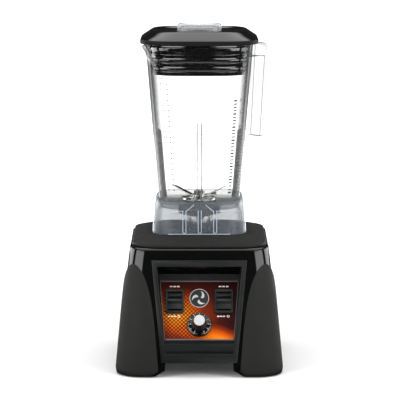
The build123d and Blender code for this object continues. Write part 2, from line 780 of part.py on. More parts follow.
with BuildPart() as jar:
    add(jar_form(0, JAR_BOTTOM, JAR_RIM))
    add(spout_solid(0, SPOUT_BOTTOM, JAR_RIM))
    add(jar_form(JAR_WALL, JAR_BOTTOM + JAR_FLOOR, JAR_RIM + 1), mode=Mode.SUBTRACT)
    add(spout_solid(JAR_WALL, SPOUT_BOTTOM + 3, JAR_RIM + 0.5), mode=Mode.SUBTRACT)
    # one upright rib inside the middle of each wall
    rib_half_low = jar_half(JAR_BOTTOM + JAR_FLOOR) - JAR_WALL
    rib_half_high = jar_half(JAR_RIB_TOP) - JAR_WALL
    for turn in range(4):
        with BuildSketch(Plane.XZ.rotated((0, 0, 90 * turn)).offset(-JAR_RIB_WIDTH / 2)):
            with BuildLine():
                Polyline(
                    (rib_half_low + 0.5, JAR_BOTTOM + JAR_FLOOR),
                    (rib_half_low - JAR_RIB_DEPTH, JAR_BOTTOM + JAR_FLOOR),
                    (rib_half_high - JAR_RIB_DEPTH, JAR_RIB_TOP - 4),
                    (rib_half_high + 0.5, JAR_RIB_TOP),
                    close=True,
                )
            make_face()
        extrude(amount=JAR_RIB_WIDTH)
    with BuildSketch(Plane.XY.offset(JAR_BOTTOM)):
        Circle(JAR_FLOOR_HOLE_R)
    extrude(amount=JAR_FLOOR, mode=Mode.SUBTRACT)
save(jar.part, "jar")

# grip joined to the jar only at its top, in the plane of the rear-right diagonal
diagonal_view = Plane(origin=(0, 0, 0), x_dir=(1, 1, 0), z_dir=(1, -1, 0))
with BuildPart() as jar_handle:
    with BuildSketch(diagonal_view) as grip_profile:
        with BuildLine():
            Polyline(
                (60, BRIDGE_BOTTOM_Z),
                (GRIP_OUT_TOP - GRIP_THICKNESS - 0.3, BRIDGE_BOTTOM_Z),
                (GRIP_OUT_BOTTOM - GRIP_THICKNESS, GRIP_BOTTOM_Z),
                (GRIP_OUT_BOTTOM, GRIP_BOTTOM_Z),
                (GRIP_OUT_TOP, GRIP_TOP_Z),
                (60, GRIP_TOP_Z),
                close=True,
            )
        make_face()
        outer_top = max(grip_profile.vertices(), key=lambda v: v.X + v.Y)
        fillet(outer_top, GRIP_TOP_FILLET)
    extrude(amount=GRIP_HALF_WIDTH, both=True)
    add(jar_form(0, JAR_BOTTOM, JAR_RIM), mode=Mode.SUBTRACT)
    lower_corners = jar_handle.edges().filter_by(lambda e: e.center().Z < GRIP_BOTTOM_Z + 1)
    fillet(lower_corners.filter_by(Axis((0, 0, 0), (1, 1, 0))), 3)
save(jar_handle.part, "jar_handle")

with BuildPart() as jar_boot:
    add(square_loft(BOOT_BOTTOM, BOOT_HALF_BOTTOM, BOOT_CORNER, BOOT_TOP, BOOT_HALF_TOP, BOOT_CORNER))
    add(
        square_loft(
            BOOT_BOTTOM,
            BOOT_HALF_BOTTOM - BOOT_WALL,
            BOOT_CORNER - BOOT_WALL,
            JAR_BOTTOM - BOOT_WEB,
            BOOT_HALF_TOP - BOOT_WALL + 0.5,
            BOOT_CORNER - BOOT_WALL,
        ),
        mode=Mode.SUBTRACT,
    )
    add(jar_form(0, JAR_BOTTOM, BOOT_TOP + 1), mode=Mode.SUBTRACT)
    with BuildSketch(Plane.XY.offset(JAR_BOTTOM - BOOT_WEB)):
        Circle(JAR_FLOOR_HOLE_R)
    extrude(amount=BOOT_WEB, mode=Mode.SUBTRACT)
    for turn in range(4):
        for x in (-BOOT_RIB_X, 0, BOOT_RIB_X):
            with BuildSketch(Plane.XY.offset(BOOT_BOTTOM).rotated((0, 0, 90 * turn))):
                with Locations((x, BOOT_HALF_BOTTOM - BOOT_WALL - 3)):
                    Rectangle(2, 6)
            extrude(amount=JAR_BOTTOM - BOOT_WEB - BOOT_BOTTOM)
save(jar_boot.part, "jar_boot")

ring("jar_gasket", JAR_BOTTOM + JAR_FLOOR, JAR_BOTTOM + JAR_FLOOR + 1.5, 22, JAR_FLOOR_HOLE_R)
ring("boot_nut", JAR_BOTTOM - BOOT_WEB - 7, JAR_BOTTOM - BOOT_WEB, 28, JAR_FLOOR_HOLE_R)

flange_low = JAR_BOTTOM + JAR_FLOOR + 1.5
with BuildPart() as bearing_housing:
    with BuildSketch(Plane.XY.offset(JAR_BOTTOM - BOOT_WEB - 7)):
        Circle(JAR_FLOOR_HOLE_R)
    extrude(amount=flange_low - (JAR_BOTTOM - BOOT_WEB - 7))
    with BuildSketch(Plane.XY.offset(flange_low)):
        Circle(22)
    extrude(amount=3, taper=30)
    with BuildSketch(Plane.XY.offset(JAR_BOTTOM - BOOT_WEB - 7)):
        Circle(BLADE_BEARING_R)
    extrude(amount=30, mode=Mode.SUBTRACT)
save(bearing_housing.part, "bearing_housing")

with BuildPart() as blade_bearings:
    for low in (JAR_BOTTOM - BOOT_WEB - 6.5, JAR_BOTTOM + 0.4):
        with BuildSketch(Plane.XY.offset(low)):
            Circle(BLADE_BEARING_R)
            Circle(BLADE_SHAFT_R + RUNNING_GAP, mode=Mode.SUBTRACT)
        extrude(amount=6)
save(blade_bearings.part, "blade_bearings")
ring("blade_seal", flange_low, flange_low + 2.5, BLADE_BEARING_R, BLADE_SHAFT_R + RUNNING_GAP)

with BuildPart() as drive_socket:
    with BuildSketch(Plane.XY.offset(SOCKET_BOTTOM)):
        Circle(SOCKET_R)
    extrude(amount=SOCKET_TOP - SOCKET_BOTTOM)
    with BuildSketch(Plane.XY.offset(SOCKET_BOTTOM)):
        star(STAR_GAP)
    extrude(amount=STAR_TOP + 0.8 - SOCKET_BOTTOM, mode=Mode.SUBTRACT)
    with BuildSketch(Plane.XY.offset(SOCKET_TOP - 5)):
        Circle(BLADE_SHAFT_R)
    extrude(amount=5, mode=Mode.SUBTRACT)
save(drive_socket.part, "drive_socket")

with BuildPart() as blade_shaft:
    with BuildSketch(Plane.XY.offset(SOCKET_TOP - 5)):
        Circle(BLADE_SHAFT_R)
    extrude(amount=BLADE_SHAFT_TOP - SOCKET_TOP + 5)
    chamfer(blade_shaft.faces().sort_by(Axis.Z)[-1].edges(), 0.6)
save(blade_shaft.part, "blade_shaft")


def bent_blade(name, low, root_half, flat_r, tip_r, rise, turn, thickness=1.4):
    """Two-winged cutter: a flat hub and wings bent along a line, narrowing to pointed tips."""
    with BuildPart() as blade:
        with BuildSketch(Plane.XY.offset(low)):
            Circle(9)
            Rectangle(2 * flat_r, 2 * root_half)
            Circle(BLADE_SHAFT_R, mode=Mode.SUBTRACT)
        extrude(amount=thickness)
        with BuildSketch(Plane.XZ.offset(-root_half)):
            with BuildLine():
                Polyline(
                    (flat_r - 0.5, low),
                    (tip_r, low + rise),
                    (tip_r, low + rise + thickness),
                    (flat_r - 0.5, low + thickness),
                    close=True,
                )
            make_face()
        extrude(amount=2 * root_half)
        with BuildSketch(Plane.XY.offset(low - 20)):
            with BuildLine():
                Polyline(
                    (flat_r - 1, -root_half - 1),
                    (tip_r + 2, -root_half - 1),
                    (tip_r + 2, root_half - 1.5),
                    (tip_r - 6, -root_half + 1),
                    (flat_r, -root_half),
                    close=True,
                )
            make_face()
        extrude(amount=60, mode=Mode.SUBTRACT)
    half = blade.part & Pos(50, 0, 0) * Box(100, 100, 600)
    save((half + half.rotate(Axis.Z, 180)).rotate(Axis.Z, turn), name)


hub_low = flange_low + 3.4
bent_blade("lower_blade", hub_low, 6, 12, 30, 0.8, 35)
bent_blade("upper_blade", hub_low + 1.4, 6, 11, 36, 13, -12)

with BuildPart() as blade_nut:
    with BuildSketch(Plane.XY.offset(hub_low + 2.8)):
        RegularPolygon(7, 6)
        Circle(BLADE_SHAFT_R, mode=Mode.SUBTRACT)
    extrude(amount=5)
save(blade_nut.part, "blade_nut")

# --- Lid and cap ----------------------------------------------------------------------------------


def plug_form(gap, low_z, high_z):
    """Solid that follows the inside of the jar's wall at a gap."""
    return jar_form(JAR_WALL + gap, low_z, high_z)


with BuildPart() as lid:
    add(plug_form(LID_PLUG_GAP, LID_PLUG_BOTTOM, LID_FLANGE_BOTTOM))
    for ring_z in LID_RING_HEIGHTS:
        add(plug_form(LID_RING_GAP, ring_z - 1.5, ring_z + 1.5))
    with BuildSketch(Plane.XY.offset(LID_FLANGE_BOTTOM)):
        RectangleRounded(2 * LID_FLANGE_HALF, 2 * LID_FLANGE_HALF, LID_CORNER)
    extrude(amount=LID_FLANGE_TOP - LID_FLANGE_BOTTOM)
    add(square_loft(LID_FLANGE_TOP, LID_FLANGE_HALF, LID_CORNER, LID_TOP, LID_RIDGE_HALF, LID_CORNER - 6))
    add(
        square_loft(
            LID_TOP - LID_DISH, LID_RIDGE_HALF - 8, LID_CORNER - 12, LID_TOP, LID_RIDGE_HALF - 3, LID_CORNER - 8
        ),
        mode=Mode.SUBTRACT,
    )
    add(plug_form(LID_PLUG_GAP + LID_WALL, LID_PLUG_BOTTOM - 1, LID_FLANGE_BOTTOM + 6), mode=Mode.SUBTRACT)
    with BuildSketch(Plane.XY.offset(LID_COLLAR_BOTTOM)):
        Circle(LID_HOLE_R + LID_WALL)
    extrude(amount=LID_TOP - LID_DISH - LID_COLLAR_BOTTOM)
    with BuildSketch(Plane.XY.offset(LID_COLLAR_BOTTOM)):
        Circle(LID_HOLE_R)
    extrude(amount=60, mode=Mode.SUBTRACT)
save(lid.part, "lid")

with BuildPart() as lid_cap:
    cap_seat = LID_TOP - LID_DISH + CLEARANCE
    with BuildSketch(Plane.XY.offset(CAP_BOTTOM)):
        Circle(CAP_PLUG_R)
    extrude(amount=cap_seat - CAP_BOTTOM)
    with BuildSketch(Plane.XY.offset(cap_seat)):
        Circle(CAP_R)
    extrude(amount=CAP_TOP - cap_seat)
    fillet(lid_cap.faces().sort_by(Axis.Z)[-1].edges(), 2)
    with BuildSketch(Plane.XY.offset(CAP_BOTTOM)):
        Circle(CAP_PLUG_R - CAP_WALL)
    extrude(amount=CAP_TOP - 3.5 - CAP_BOTTOM, mode=Mode.SUBTRACT)
    with BuildSketch(Plane.XY.offset(CAP_TOP)):
        Circle(CAP_R - 6)
    extrude(amount=-1.2, mode=Mode.SUBTRACT)
save(lid_cap.part, "lid_cap")
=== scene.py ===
"""Looks of a countertop blender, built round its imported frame. Metres, +Z up, front towards -Y."""

import json
from math import atan2, cos, hypot, pi, radians, sin

import bmesh
import bpy
from mathutils import Matrix, Vector


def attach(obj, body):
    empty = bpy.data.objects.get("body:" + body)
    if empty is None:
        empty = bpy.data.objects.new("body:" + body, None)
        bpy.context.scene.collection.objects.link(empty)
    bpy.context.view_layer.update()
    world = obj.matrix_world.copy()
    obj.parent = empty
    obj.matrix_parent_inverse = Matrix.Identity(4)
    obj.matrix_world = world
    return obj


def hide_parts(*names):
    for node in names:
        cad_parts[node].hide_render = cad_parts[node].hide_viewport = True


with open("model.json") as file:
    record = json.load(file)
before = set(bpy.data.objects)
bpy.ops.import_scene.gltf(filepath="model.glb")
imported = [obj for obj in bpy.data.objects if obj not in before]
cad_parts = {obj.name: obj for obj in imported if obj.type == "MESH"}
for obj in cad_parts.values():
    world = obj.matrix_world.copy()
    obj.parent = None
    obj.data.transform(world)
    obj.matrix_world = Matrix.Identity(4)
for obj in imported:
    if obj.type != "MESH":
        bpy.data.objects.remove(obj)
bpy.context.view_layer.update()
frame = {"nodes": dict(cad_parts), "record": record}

bl_info = {
    "name": "Countertop Blender Looks",
    "version": (1, 0, 0),
    "blender": (4, 5, 0),
    "location": "3D View > Sidebar > Blender Jar",
    "description": "Builds the visible pieces and finishes of a countertop blender round its frame",
    "category": "Object",
}

# Base body: height, half width, half depth and corner radius of its rounded-square sections
BODY_SECTIONS = (
    (0.0012, 0.1075, 0.113, 0.033),
    (0.053, 0.1027, 0.1075, 0.032),
    (0.106, 0.0977, 0.1015, 0.0305),
    (0.148, 0.0922, 0.0938, 0.029),
    (0.1635, 0.0896, 0.0906, 0.028),
)
FOOT_TOP = 0.019
ARCH_FRONT = 0.044
ARCH_SIDE = 0.048
FLARE_TOP = 0.009
FLARE_REACH = 0.0154
PAD_BOTTOM = 0.0014
PAD_APEX = 0.143

# Turns an outline across and up into one that faces the front, 150 mm before the axis
FACING = Matrix(((1, 0, 0, 0), (0, 0, 1, -0.15), (0, 1, 0, 0), (0, 0, 0, 1)))

# Label plane: it leans back from its lower edge
LABEL_LEAN = radians(29)
LABEL_LOW = Vector((0, -0.104, 0.0487))
LABEL_LENGTH = 0.0764
LABEL_HALF_LOW = 0.044
LABEL_HALF_HIGH = 0.050
SWITCH_X = 0.0315
SWITCH_UP = 0.050
DIAL_UP = 0.0185
LABEL_PLANE = Matrix((
    (1, 0, 0, LABEL_LOW.x),
    (0, sin(LABEL_LEAN), -cos(LABEL_LEAN), LABEL_LOW.y),
    (0, cos(LABEL_LEAN), sin(LABEL_LEAN), LABEL_LOW.z),
    (0, 0, 0, 1),
))

# Jar: heights, and outer half width and corner radius at its bottom and rim
JAR_BOTTOM = 0.207
JAR_RIM = 0.4205
JAR_HALF = (0.0525, 0.070)
JAR_CORNER = (0.026, 0.038)
JAR_WALL = 0.0036
JAR_FLOOR_TOP = 0.212
JAR_HOLE_RADII = (0.030, 0.019)
RIB_TOP = 0.307
RIB_DEPTH = 0.007
SPOUT_BOTTOM = 0.397
SPOUT_TIP = 0.0745
SPOUT_SIDE = 0.031
SPOUT_BEND = 0.10

# Boot: it narrows upwards by its taper
BOOT_BOTTOM = 0.1753
BOOT_HEIGHT = 0.0437
BOOT_HALF = 0.0615
BOOT_TAPER = 0.0045
BOOT_CORNER = 0.028

# Marks: their height, the sign's centre and radii on the label, and the spread of the dial's scale
MARK_HEIGHT = 0.00015
SIGN_CENTRE = (0.0, 0.0545)
SIGN_RADIUS = 0.0125
SIGN_RIM_INNER = 0.0118
DIAL_START = 240
DIAL_TICKS = 31
DIAL_TICK_STEP = 10
DIAL_NUMBER_STEP = 30


# --- Meshes --------------------------------------------------------------------------------------


def as_object(name, bm, material, smooth=True):
    """Turns a bmesh into a named object at the origin, shaded smooth."""
    mesh = bpy.data.meshes.new(name)
    bm.to_mesh(mesh)
    bm.free()
    for polygon in mesh.polygons:
        polygon.use_smooth = smooth
    obj = bpy.data.objects.new(name, mesh)
    bpy.context.scene.collection.objects.link(obj)
    mesh.materials.append(material)
    return obj


def place(obj, body, slot, *nodes):
    """Puts a finished piece on its body and hides what it stands for; the slot is not used."""
    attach(obj, body)
    if nodes:
        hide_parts(*nodes)
    return obj


def bevelled(obj, width, segments=3, angle=35):
    """Rounds a piece's edges with a live Bevel modifier and even shading."""
    bevel = obj.modifiers.new("Rounded edges", "BEVEL")
    bevel.width = width
    bevel.segments = segments
    bevel.limit_method = "ANGLE"
    bevel.angle_limit = radians(angle)
    bevel.harden_normals = True
    return obj


def baked(obj):
    """Applies a piece's modifiers to its mesh."""
    depsgraph = bpy.context.evaluated_depsgraph_get()
    mesh = bpy.data.meshes.new_from_object(obj.evaluated_get(depsgraph))
    old = obj.data
    obj.modifiers.clear()
    obj.data = mesh
    bpy.data.meshes.remove(old)
    return obj


def cut(obj, tool, operation="DIFFERENCE"):
    """Cuts, joins or trims a piece with a tool solid, and removes the tool."""
    boolean = obj.modifiers.new("Cut", "BOOLEAN")
    boolean.operation = operation
    boolean.solver = "EXACT"
    boolean.object = tool
    baked(obj)
    bpy.data.objects.remove(tool)
    return obj


def box_solid(name, low, high):
    """Plain box between two corners, as a cutting tool."""
    bm = bmesh.new()
    bmesh.ops.create_cube(bm, size=1)
    low, high = Vector(low), Vector(high)
    bmesh.ops.scale(bm, vec=high - low, verts=bm.verts)
    bmesh.ops.translate(bm, vec=(low + high) / 2, verts=bm.verts)
    return as_object(name, bm, None, smooth=False)


def prism(name, outline, depth, matrix):
    """Closed prism of a flat outline, raised by a depth along the matrix's Z."""
    bm = bmesh.new()
    verts = [bm.verts.new((x, y, 0)) for x, y in outline]
    bm.faces.new(verts)
    raised = bmesh.ops.extrude_face_region(bm, geom=bm.faces[:])
    moved = [v for v in raised["geom"] if isinstance(v, bmesh.types.BMVert)]
    bmesh.ops.translate(bm, vec=(0, 0, depth), verts=moved)
    bmesh.ops.transform(bm, matrix=matrix, verts=bm.verts)
    bmesh.ops.recalc_face_normals(bm, faces=bm.faces)
    return as_object(name, bm, None, smooth=False)


def stacked(rings, closed_ends=True):
    """Skin over a stack of rings with equal counts of points, extruded ring by ring."""
    bm = bmesh.new()
    made = bmesh.ops.create_circle(bm, cap_ends=False, segments=len(rings[0]), radius=1)
    ring = made["verts"]
    for vert, point in zip(ring, rings[0]):
        vert.co = point
    first = list(ring)
    for points in rings[1:]:
        count = len(ring)
        edges = [bm.edges.get((ring[i], ring[(i + 1) % count])) for i in range(count)]
        grown = bmesh.ops.extrude_edge_only(bm, edges=edges)["geom"]
        new = {v for v in grown if isinstance(v, bmesh.types.BMVert)}
        above = []
        for old in ring:
            above.append(next(e.other_vert(old) for e in old.link_edges if e.other_vert(old) in new))
        for vert, point in zip(above, points):
            vert.co = point
        ring = above
    if closed_ends:
        bm.faces.new(first)
        bm.faces.new(ring)
    bmesh.ops.recalc_face_normals(bm, faces=bm.faces)
    return bm


def looped(rings):
    """Skin over a stack of rings whose last ring is joined back to its first."""
    bm = stacked(rings, closed_ends=False)
    bmesh.ops.bridge_loops(bm, edges=[e for e in bm.edges if e.is_boundary])
    bmesh.ops.recalc_face_normals(bm, faces=bm.faces)
    return bm


def round_ring(radius, z, like):
    """Circle at one height, with its points at the bearings of another ring's points."""
    return [Vector((radius * cos(a), radius * sin(a), z)) for a in (atan2(p.y, p.x) for p in like)]


def turned(profile, segments=96):
    """Closed solid of revolution about the machine's axis from a radius and height profile."""
    turns = [2 * pi * i / segments for i in range(segments)]
    return stacked([[Vector((r * cos(a), r * sin(a), z)) for a in turns] for r, z in profile])


def rounded(profile, radius, steps=5):
    """Profile with its inner corners replaced by arcs as large as they may be, up to a radius."""
    points = [Vector(p) for p in profile]
    result = [points[0]]
    for before, corner, after in zip(points, points[1:], points[2:]):
        back, ahead = before - corner, after - corner
        reach = min(radius, back.length * 0.45, ahead.length * 0.45)
        start = corner + back.normalized() * reach
        end = corner + ahead.normalized() * reach
        for i in range(steps + 1):
            t = i / steps
            result.append(start * (1 - t) ** 2 + corner * 2 * t * (1 - t) + end * t**2)
    result.append(points[-1])
    return result


def blend_value(stations, z):
    """Smooth value between stations of height and value, flat beyond the ends."""
    if z <= stations[0][0]:
        return stations[0][1]
    for i in range(len(stations) - 1):
        (z0, v0), (z1, v1) = stations[i], stations[i + 1]
        if z <= z1:
            zb, vb = stations[max(i - 1, 0)]
            za, va = stations[min(i + 2, len(stations) - 1)]
            m0 = (v1 - vb) / (z1 - zb)
            m1 = (va - v0) / (za - z0)
            t, h = (z - z0) / (z1 - z0), z1 - z0
            return (
                v0 * (2 * t**3 - 3 * t**2 + 1)
                + m0 * h * (t**3 - 2 * t**2 + t)
                + v1 * (3 * t**2 - 2 * t**3)
                + m1 * h * (t**3 - t**2)
            )
    return stations[-1][1]


def body_section(z):
    """Half width, half depth and corner radius of the base body at a height."""
    return [blend_value([(s[0], s[k]) for s in BODY_SECTIONS], z) for k in (1, 2, 3)]


def square_ring(half_x, half_y, corner, z, corner_steps=10, side_steps=6):
    """Rounded rectangle of points at one height, starting on the right-hand side's middle."""
    points = []
    corner = max(corner, 1e-5)
    signs = ((1, 1), (-1, 1), (-1, -1), (1, -1))
    for quarter, (sx, sy) in enumerate(signs):
        centre = Vector((sx * (half_x - corner), sy * (half_y - corner)))
        start = quarter * pi / 2
        arc = [
            centre + corner * Vector((cos(start + a), sin(start + a)))
            for a in (pi / 2 * i / corner_steps for i in range(corner_steps + 1))
        ]
        points += arc
        nx, ny = signs[(quarter + 1) % 4]
        nxt = Vector((nx * (half_x - corner), ny * (half_y - corner)))
        end = nxt + corner * Vector((cos(start + pi / 2), sin(start + pi / 2)))
        points += [arc[-1].lerp(end, i / side_steps) for i in range(1, side_steps)]
    return [Vector((p.x, p.y, z)) for p in points]


def body_rings(levels):
    """Rings of the base body's form at levels of height and inset."""
    rings = []
    for z, inset in levels:
        half_x, half_y, corner = body_section(z)
        rings.append(square_ring(half_x - inset, half_y - inset, max(corner - inset, 0.004), z))
    return rings


def cad_copy(node, name, material, width, segments=2, angle=30, smooth=True):
    """Merged copy of a CAD node's mesh with its edges rounded, to stand for the node."""
    source = frame["nodes"][node]
    bm = bmesh.new()
    bm.from_mesh(source.data)
    bmesh.ops.transform(bm, matrix=source.matrix_world, verts=bm.verts)
    bmesh.ops.remove_doubles(bm, verts=bm.verts, dist=2e-6)
    bmesh.ops.dissolve_limit(bm, angle_limit=radians(1.0), verts=bm.verts, edges=bm.edges)
    obj = as_object(name, bm, material, smooth)
    if width:
        bevelled(obj, width, segments, angle)
    return obj


# --- Materials -----------------------------------------------------------------------------------


class Finish:
    """Small helper that builds one node material."""

    def __init__(self, name):
        self.material = bpy.data.materials.new(name)
        self.material.use_nodes = True
        self.tree = self.material.node_tree
        self.shader = self.tree.nodes["Principled BSDF"]
        self.place = self.node("ShaderNodeTexCoord").outputs["Object"]

    def node(self, kind, **settings):
        """Adds a node and sets its properties."""
        made = self.tree.nodes.new(kind)
        for key, value in settings.items():
            setattr(made, key, value)
        return made

    def link(self, source, target):
        """Joins an output to an input."""
        self.tree.links.new(source, target)

    def set(self, **values):
        """Sets constant values on the shader's own sockets, with underscores for spaces."""
        for key, value in values.items():
            self.shader.inputs[key.replace("_", " ")].default_value = value
        return self

    def noise(self, scale, detail=3.0, roughness=0.55, stretch=None):
        """Noise over the object's own coordinates."""
        texture = self.node("ShaderNodeTexNoise")
        texture.inputs["Scale"].default_value = scale
        texture.inputs["Detail"].default_value = detail
        texture.inputs["Roughness"].default_value = roughness
        source = self.place
        if stretch:
            mapping = self.node("ShaderNodeMapping")
            mapping.inputs["Scale"].default_value = stretch
            self.link(self.place, mapping.inputs["Vector"])
            source = mapping.outputs["Vector"]
        self.link(source, texture.inputs["Vector"])
        return texture.outputs["Fac"]

    def ramp(self, source, *stops):
        """Colour ramp over a value."""
        ramp = self.node("ShaderNodeValToRGB")
        elements = ramp.color_ramp.elements
        while len(elements) < len(stops):
            elements.new(0.5)
        for element, (position, colour) in zip(elements, stops):
            element.position = position
            element.color = (*colour, 1)
        self.link(source, ramp.inputs["Fac"])
        return ramp.outputs["Color"]

    def span(self, source, low, high, from_low=0.3, from_high=0.7):
        """Value moved from one range to another."""
        remap = self.node("ShaderNodeMapRange")
        ends = {"From Min": from_low, "From Max": from_high, "To Min": low, "To Max": high}
        for key, value in ends.items():
            remap.inputs[key].default_value = value
        self.link(source, remap.inputs["Value"])
        return remap.outputs["Result"]

    def math(self, operation, first, second=0.5):
        """Arithmetic on values or numbers."""
        made = self.node("ShaderNodeMath", operation=operation)
        for socket, value in zip(made.inputs, (first, second)):
            if isinstance(value, (int, float)):
                socket.default_value = value
            else:
                self.link(value, socket)
        return made.outputs["Value"]

    def colour(self, source):
        """Feeds the base colour."""
        self.link(source, self.shader.inputs["Base Color"])
        return self

    def rough(self, source, low, high):
        """Feeds the roughness from a noise."""
        self.link(self.span(source, low, high), self.shader.inputs["Roughness"])
        return self

    def bump(self, source, strength, distance):
        """Feeds the normal with a bump."""
        made = self.node("ShaderNodeBump")
        made.inputs["Strength"].default_value = strength
        made.inputs["Distance"].default_value = distance
        self.link(source, made.inputs["Height"])
        self.link(made.outputs["Normal"], self.shader.inputs["Normal"])
        return self


def moulded(name, dark, light, rough_low, rough_high, grain, bump, specular=0.5, ior=1.5):
    """Moulded plastic or rubber: slight colour drift, uneven gloss and a fine skin grain."""
    finish = Finish(name)
    drift = finish.noise(9, 4)
    skin = finish.noise(grain, 2)
    finish.colour(finish.ramp(drift, (0.3, dark), (0.7, light)))
    finish.rough(finish.noise(40, 5), rough_low, rough_high)
    finish.bump(skin, bump, 0.0002)
    finish.set(IOR=ior, Specular_IOR_Level=specular)
    return finish.material


def metal(name, dark, light, rough_low, rough_high, stretch):
    """Metal with fine machining lines along one direction."""
    finish = Finish(name)
    lines = finish.noise(900, 3, 0.6, stretch)
    finish.colour(finish.ramp(lines, (0.35, dark), (0.65, light)))
    finish.rough(lines, rough_low, rough_high)
    finish.bump(lines, 0.08, 0.00005)
    finish.set(Metallic=1.0)
    return finish.material


def see_through(name, tint_low, tint_high, solid, start, roughness, ior=1.45):
    """Clear or smoky plastic, a little uneven, that turns grey and less clear at glancing angles: painted
    shade standing for the dark surroundings that thick edges refract.
    """
    finish = Finish(name)
    finish.colour(finish.ramp(finish.noise(14, 3), (0.3, tint_low), (0.7, tint_high)))
    # painted shade: glancing faces turn grey and opaque
    glance = finish.node("ShaderNodeLayerWeight")
    glance.inputs["Blend"].default_value = 0.5
    finish.link(finish.span(glance.outputs["Facing"], *solid, start, 0.98), finish.shader.inputs["Alpha"])
    finish.bump(finish.noise(60, 2), 0.02, 0.0002)
    finish.set(Roughness=roughness, IOR=ior)
    return finish.material


def label_print(name):
    """Printed label: amber glow over a dark dot mesh, fading to maroon with fine slanted lines."""
    finish = Finish(f"{name}_print")
    split = finish.node("ShaderNodeSeparateXYZ")
    finish.link(finish.place, split.inputs["Vector"])
    along = finish.node("ShaderNodeVectorMath", operation="DOT_PRODUCT")
    along.inputs[1].default_value = (0, sin(LABEL_LEAN), cos(LABEL_LEAN))
    finish.link(finish.place, along.inputs[0])
    offset = LABEL_LOW.y * sin(LABEL_LEAN) + LABEL_LOW.z * cos(LABEL_LEAN)
    up = finish.math("SUBTRACT", along.outputs["Value"], offset)
    flat = finish.node("ShaderNodeCombineXYZ")
    finish.link(split.outputs["X"], flat.inputs["X"])
    finish.link(up, flat.inputs["Y"])
    sheet = flat.outputs["Vector"]

    def glow(centre, reach, turn=0.0):
        """Soft oval patch, 1 at its centre and 0 at its reach."""
        mapping = finish.node("ShaderNodeMapping", vector_type="TEXTURE")
        mapping.inputs["Location"].default_value = (*centre, 0)
        mapping.inputs["Rotation"].default_value = (0, 0, turn)
        mapping.inputs["Scale"].default_value = (*reach, 1)
        finish.link(sheet, mapping.inputs["Vector"])
        patch = finish.node("ShaderNodeTexGradient", gradient_type="SPHERICAL")
        finish.link(mapping.outputs["Vector"], patch.inputs["Vector"])
        return patch.outputs["Fac"]

    # glows over the left, the middle, the lower right and the upper left, with their weights
    total = 0.0
    for centre, reach, turn, weight in (
        ((-0.036, 0.030), (0.040, 0.046), -12, 0.62),
        ((-0.008, 0.028), (0.052, 0.046), 20, 0.36),
        ((0.030, 0.000), (0.060, 0.020), -8, 0.75),
        ((-0.020, 0.050), (0.085, 0.050), -25, 0.26),
    ):
        patch = finish.math("MULTIPLY", glow(centre, reach, radians(turn)), weight)
        total = finish.math("ADD", patch, total)
    glowing = finish.ramp(
        total,
        (0.0, (0.020, 0.003, 0.002)),
        (0.22, (0.045, 0.004, 0.002)),
        (0.42, (0.26, 0.026, 0.002)),
        (0.62, (0.62, 0.095, 0.002)),
        (0.95, (0.92, 0.33, 0.006)),
    )
    # round dark dots in a diamond grid, over the left and the top
    mapping = finish.node("ShaderNodeMapping")
    mapping.inputs["Rotation"].default_value = (0, 0, radians(45))
    finish.link(sheet, mapping.inputs["Vector"])
    dots = finish.node("ShaderNodeTexVoronoi", voronoi_dimensions="2D")
    dots.inputs["Scale"].default_value = 285
    dots.inputs["Randomness"].default_value = 0
    finish.link(mapping.outputs["Vector"], dots.inputs["Vector"])
    dot = finish.span(dots.outputs["Distance"], 0.0, 1.0, 0.30, 0.46)
    reach = finish.span(split.outputs["X"], 1.0, 0.0, -0.014, 0.018)
    dot = finish.math("MULTIPLY", dot, reach)
    # fine slanted lines across the middle
    lines = finish.node("ShaderNodeTexWave", wave_type="BANDS", bands_direction="X")
    lines.inputs["Scale"].default_value = 120
    finish.link(mapping.outputs["Vector"], lines.inputs["Vector"])
    line = finish.span(lines.outputs["Fac"], 0.0, 0.75, 0.35, 0.6)
    line = finish.math("MULTIPLY", line, glow((0.018, 0.045), (0.045, 0.045)))
    dark = finish.math("MINIMUM", finish.math("ADD", finish.math("MULTIPLY", dot, 0.93), line), 1.0)
    mix = finish.node("ShaderNodeMix", data_type="RGBA")
    finish.link(dark, mix.inputs["Factor"])
    finish.link(glowing, mix.inputs["A"])
    mix.inputs["B"].default_value = (0.03, 0.006, 0.004, 1)
    finish.colour(mix.outputs["Result"])
    finish.rough(finish.noise(60, 4), 0.40, 0.48)
    finish.set(IOR=1.45, Specular_IOR_Level=0.1)
    return finish.material


def printed(name, dark, light, roughness=0.5):
    """Printing ink, a little uneven."""
    finish = Finish(name)
    finish.colour(finish.ramp(finish.noise(300, 3), (0.3, dark), (0.7, light)))
    finish.set(Roughness=roughness)
    return finish.material


# Cards mirrored in the gloss: brightness, and bearings in degrees from the front and the back
CARD_LEVEL = 5.0
FLOOR_CARD_LEVEL = 4.6
CARD_START = 9
CARD_END = 82
FLOOR_CARD_END = 64


def card_pattern(maker, split, start, end, shift=None):
    """1 in four wide sectors about the diagonals and 0 in the gaps facing the four sides."""
    across = maker.math("ABSOLUTE", split.outputs["X"])
    along = maker.math("ABSOLUTE", split.outputs["Y"])
    bearing = maker.math("ARCTAN2", across, along)
    near = maker.math("SUBTRACT", bearing, shift) if shift else bearing
    rise = maker.span(near, 0.0, 1.0, radians(start) - 0.02, radians(start) + 0.04)
    fall = maker.span(bearing, 1.0, 0.0, radians(end) - 0.05, radians(end) + 0.05)
    return maker.math("MULTIPLY", rise, fall)


def mirrored(maker, rays):
    """1 for light paths that have met a mirroring surface, and 0 for all others."""
    return maker.math("GREATER_THAN", rays.outputs["Glossy Depth"], 0.5)


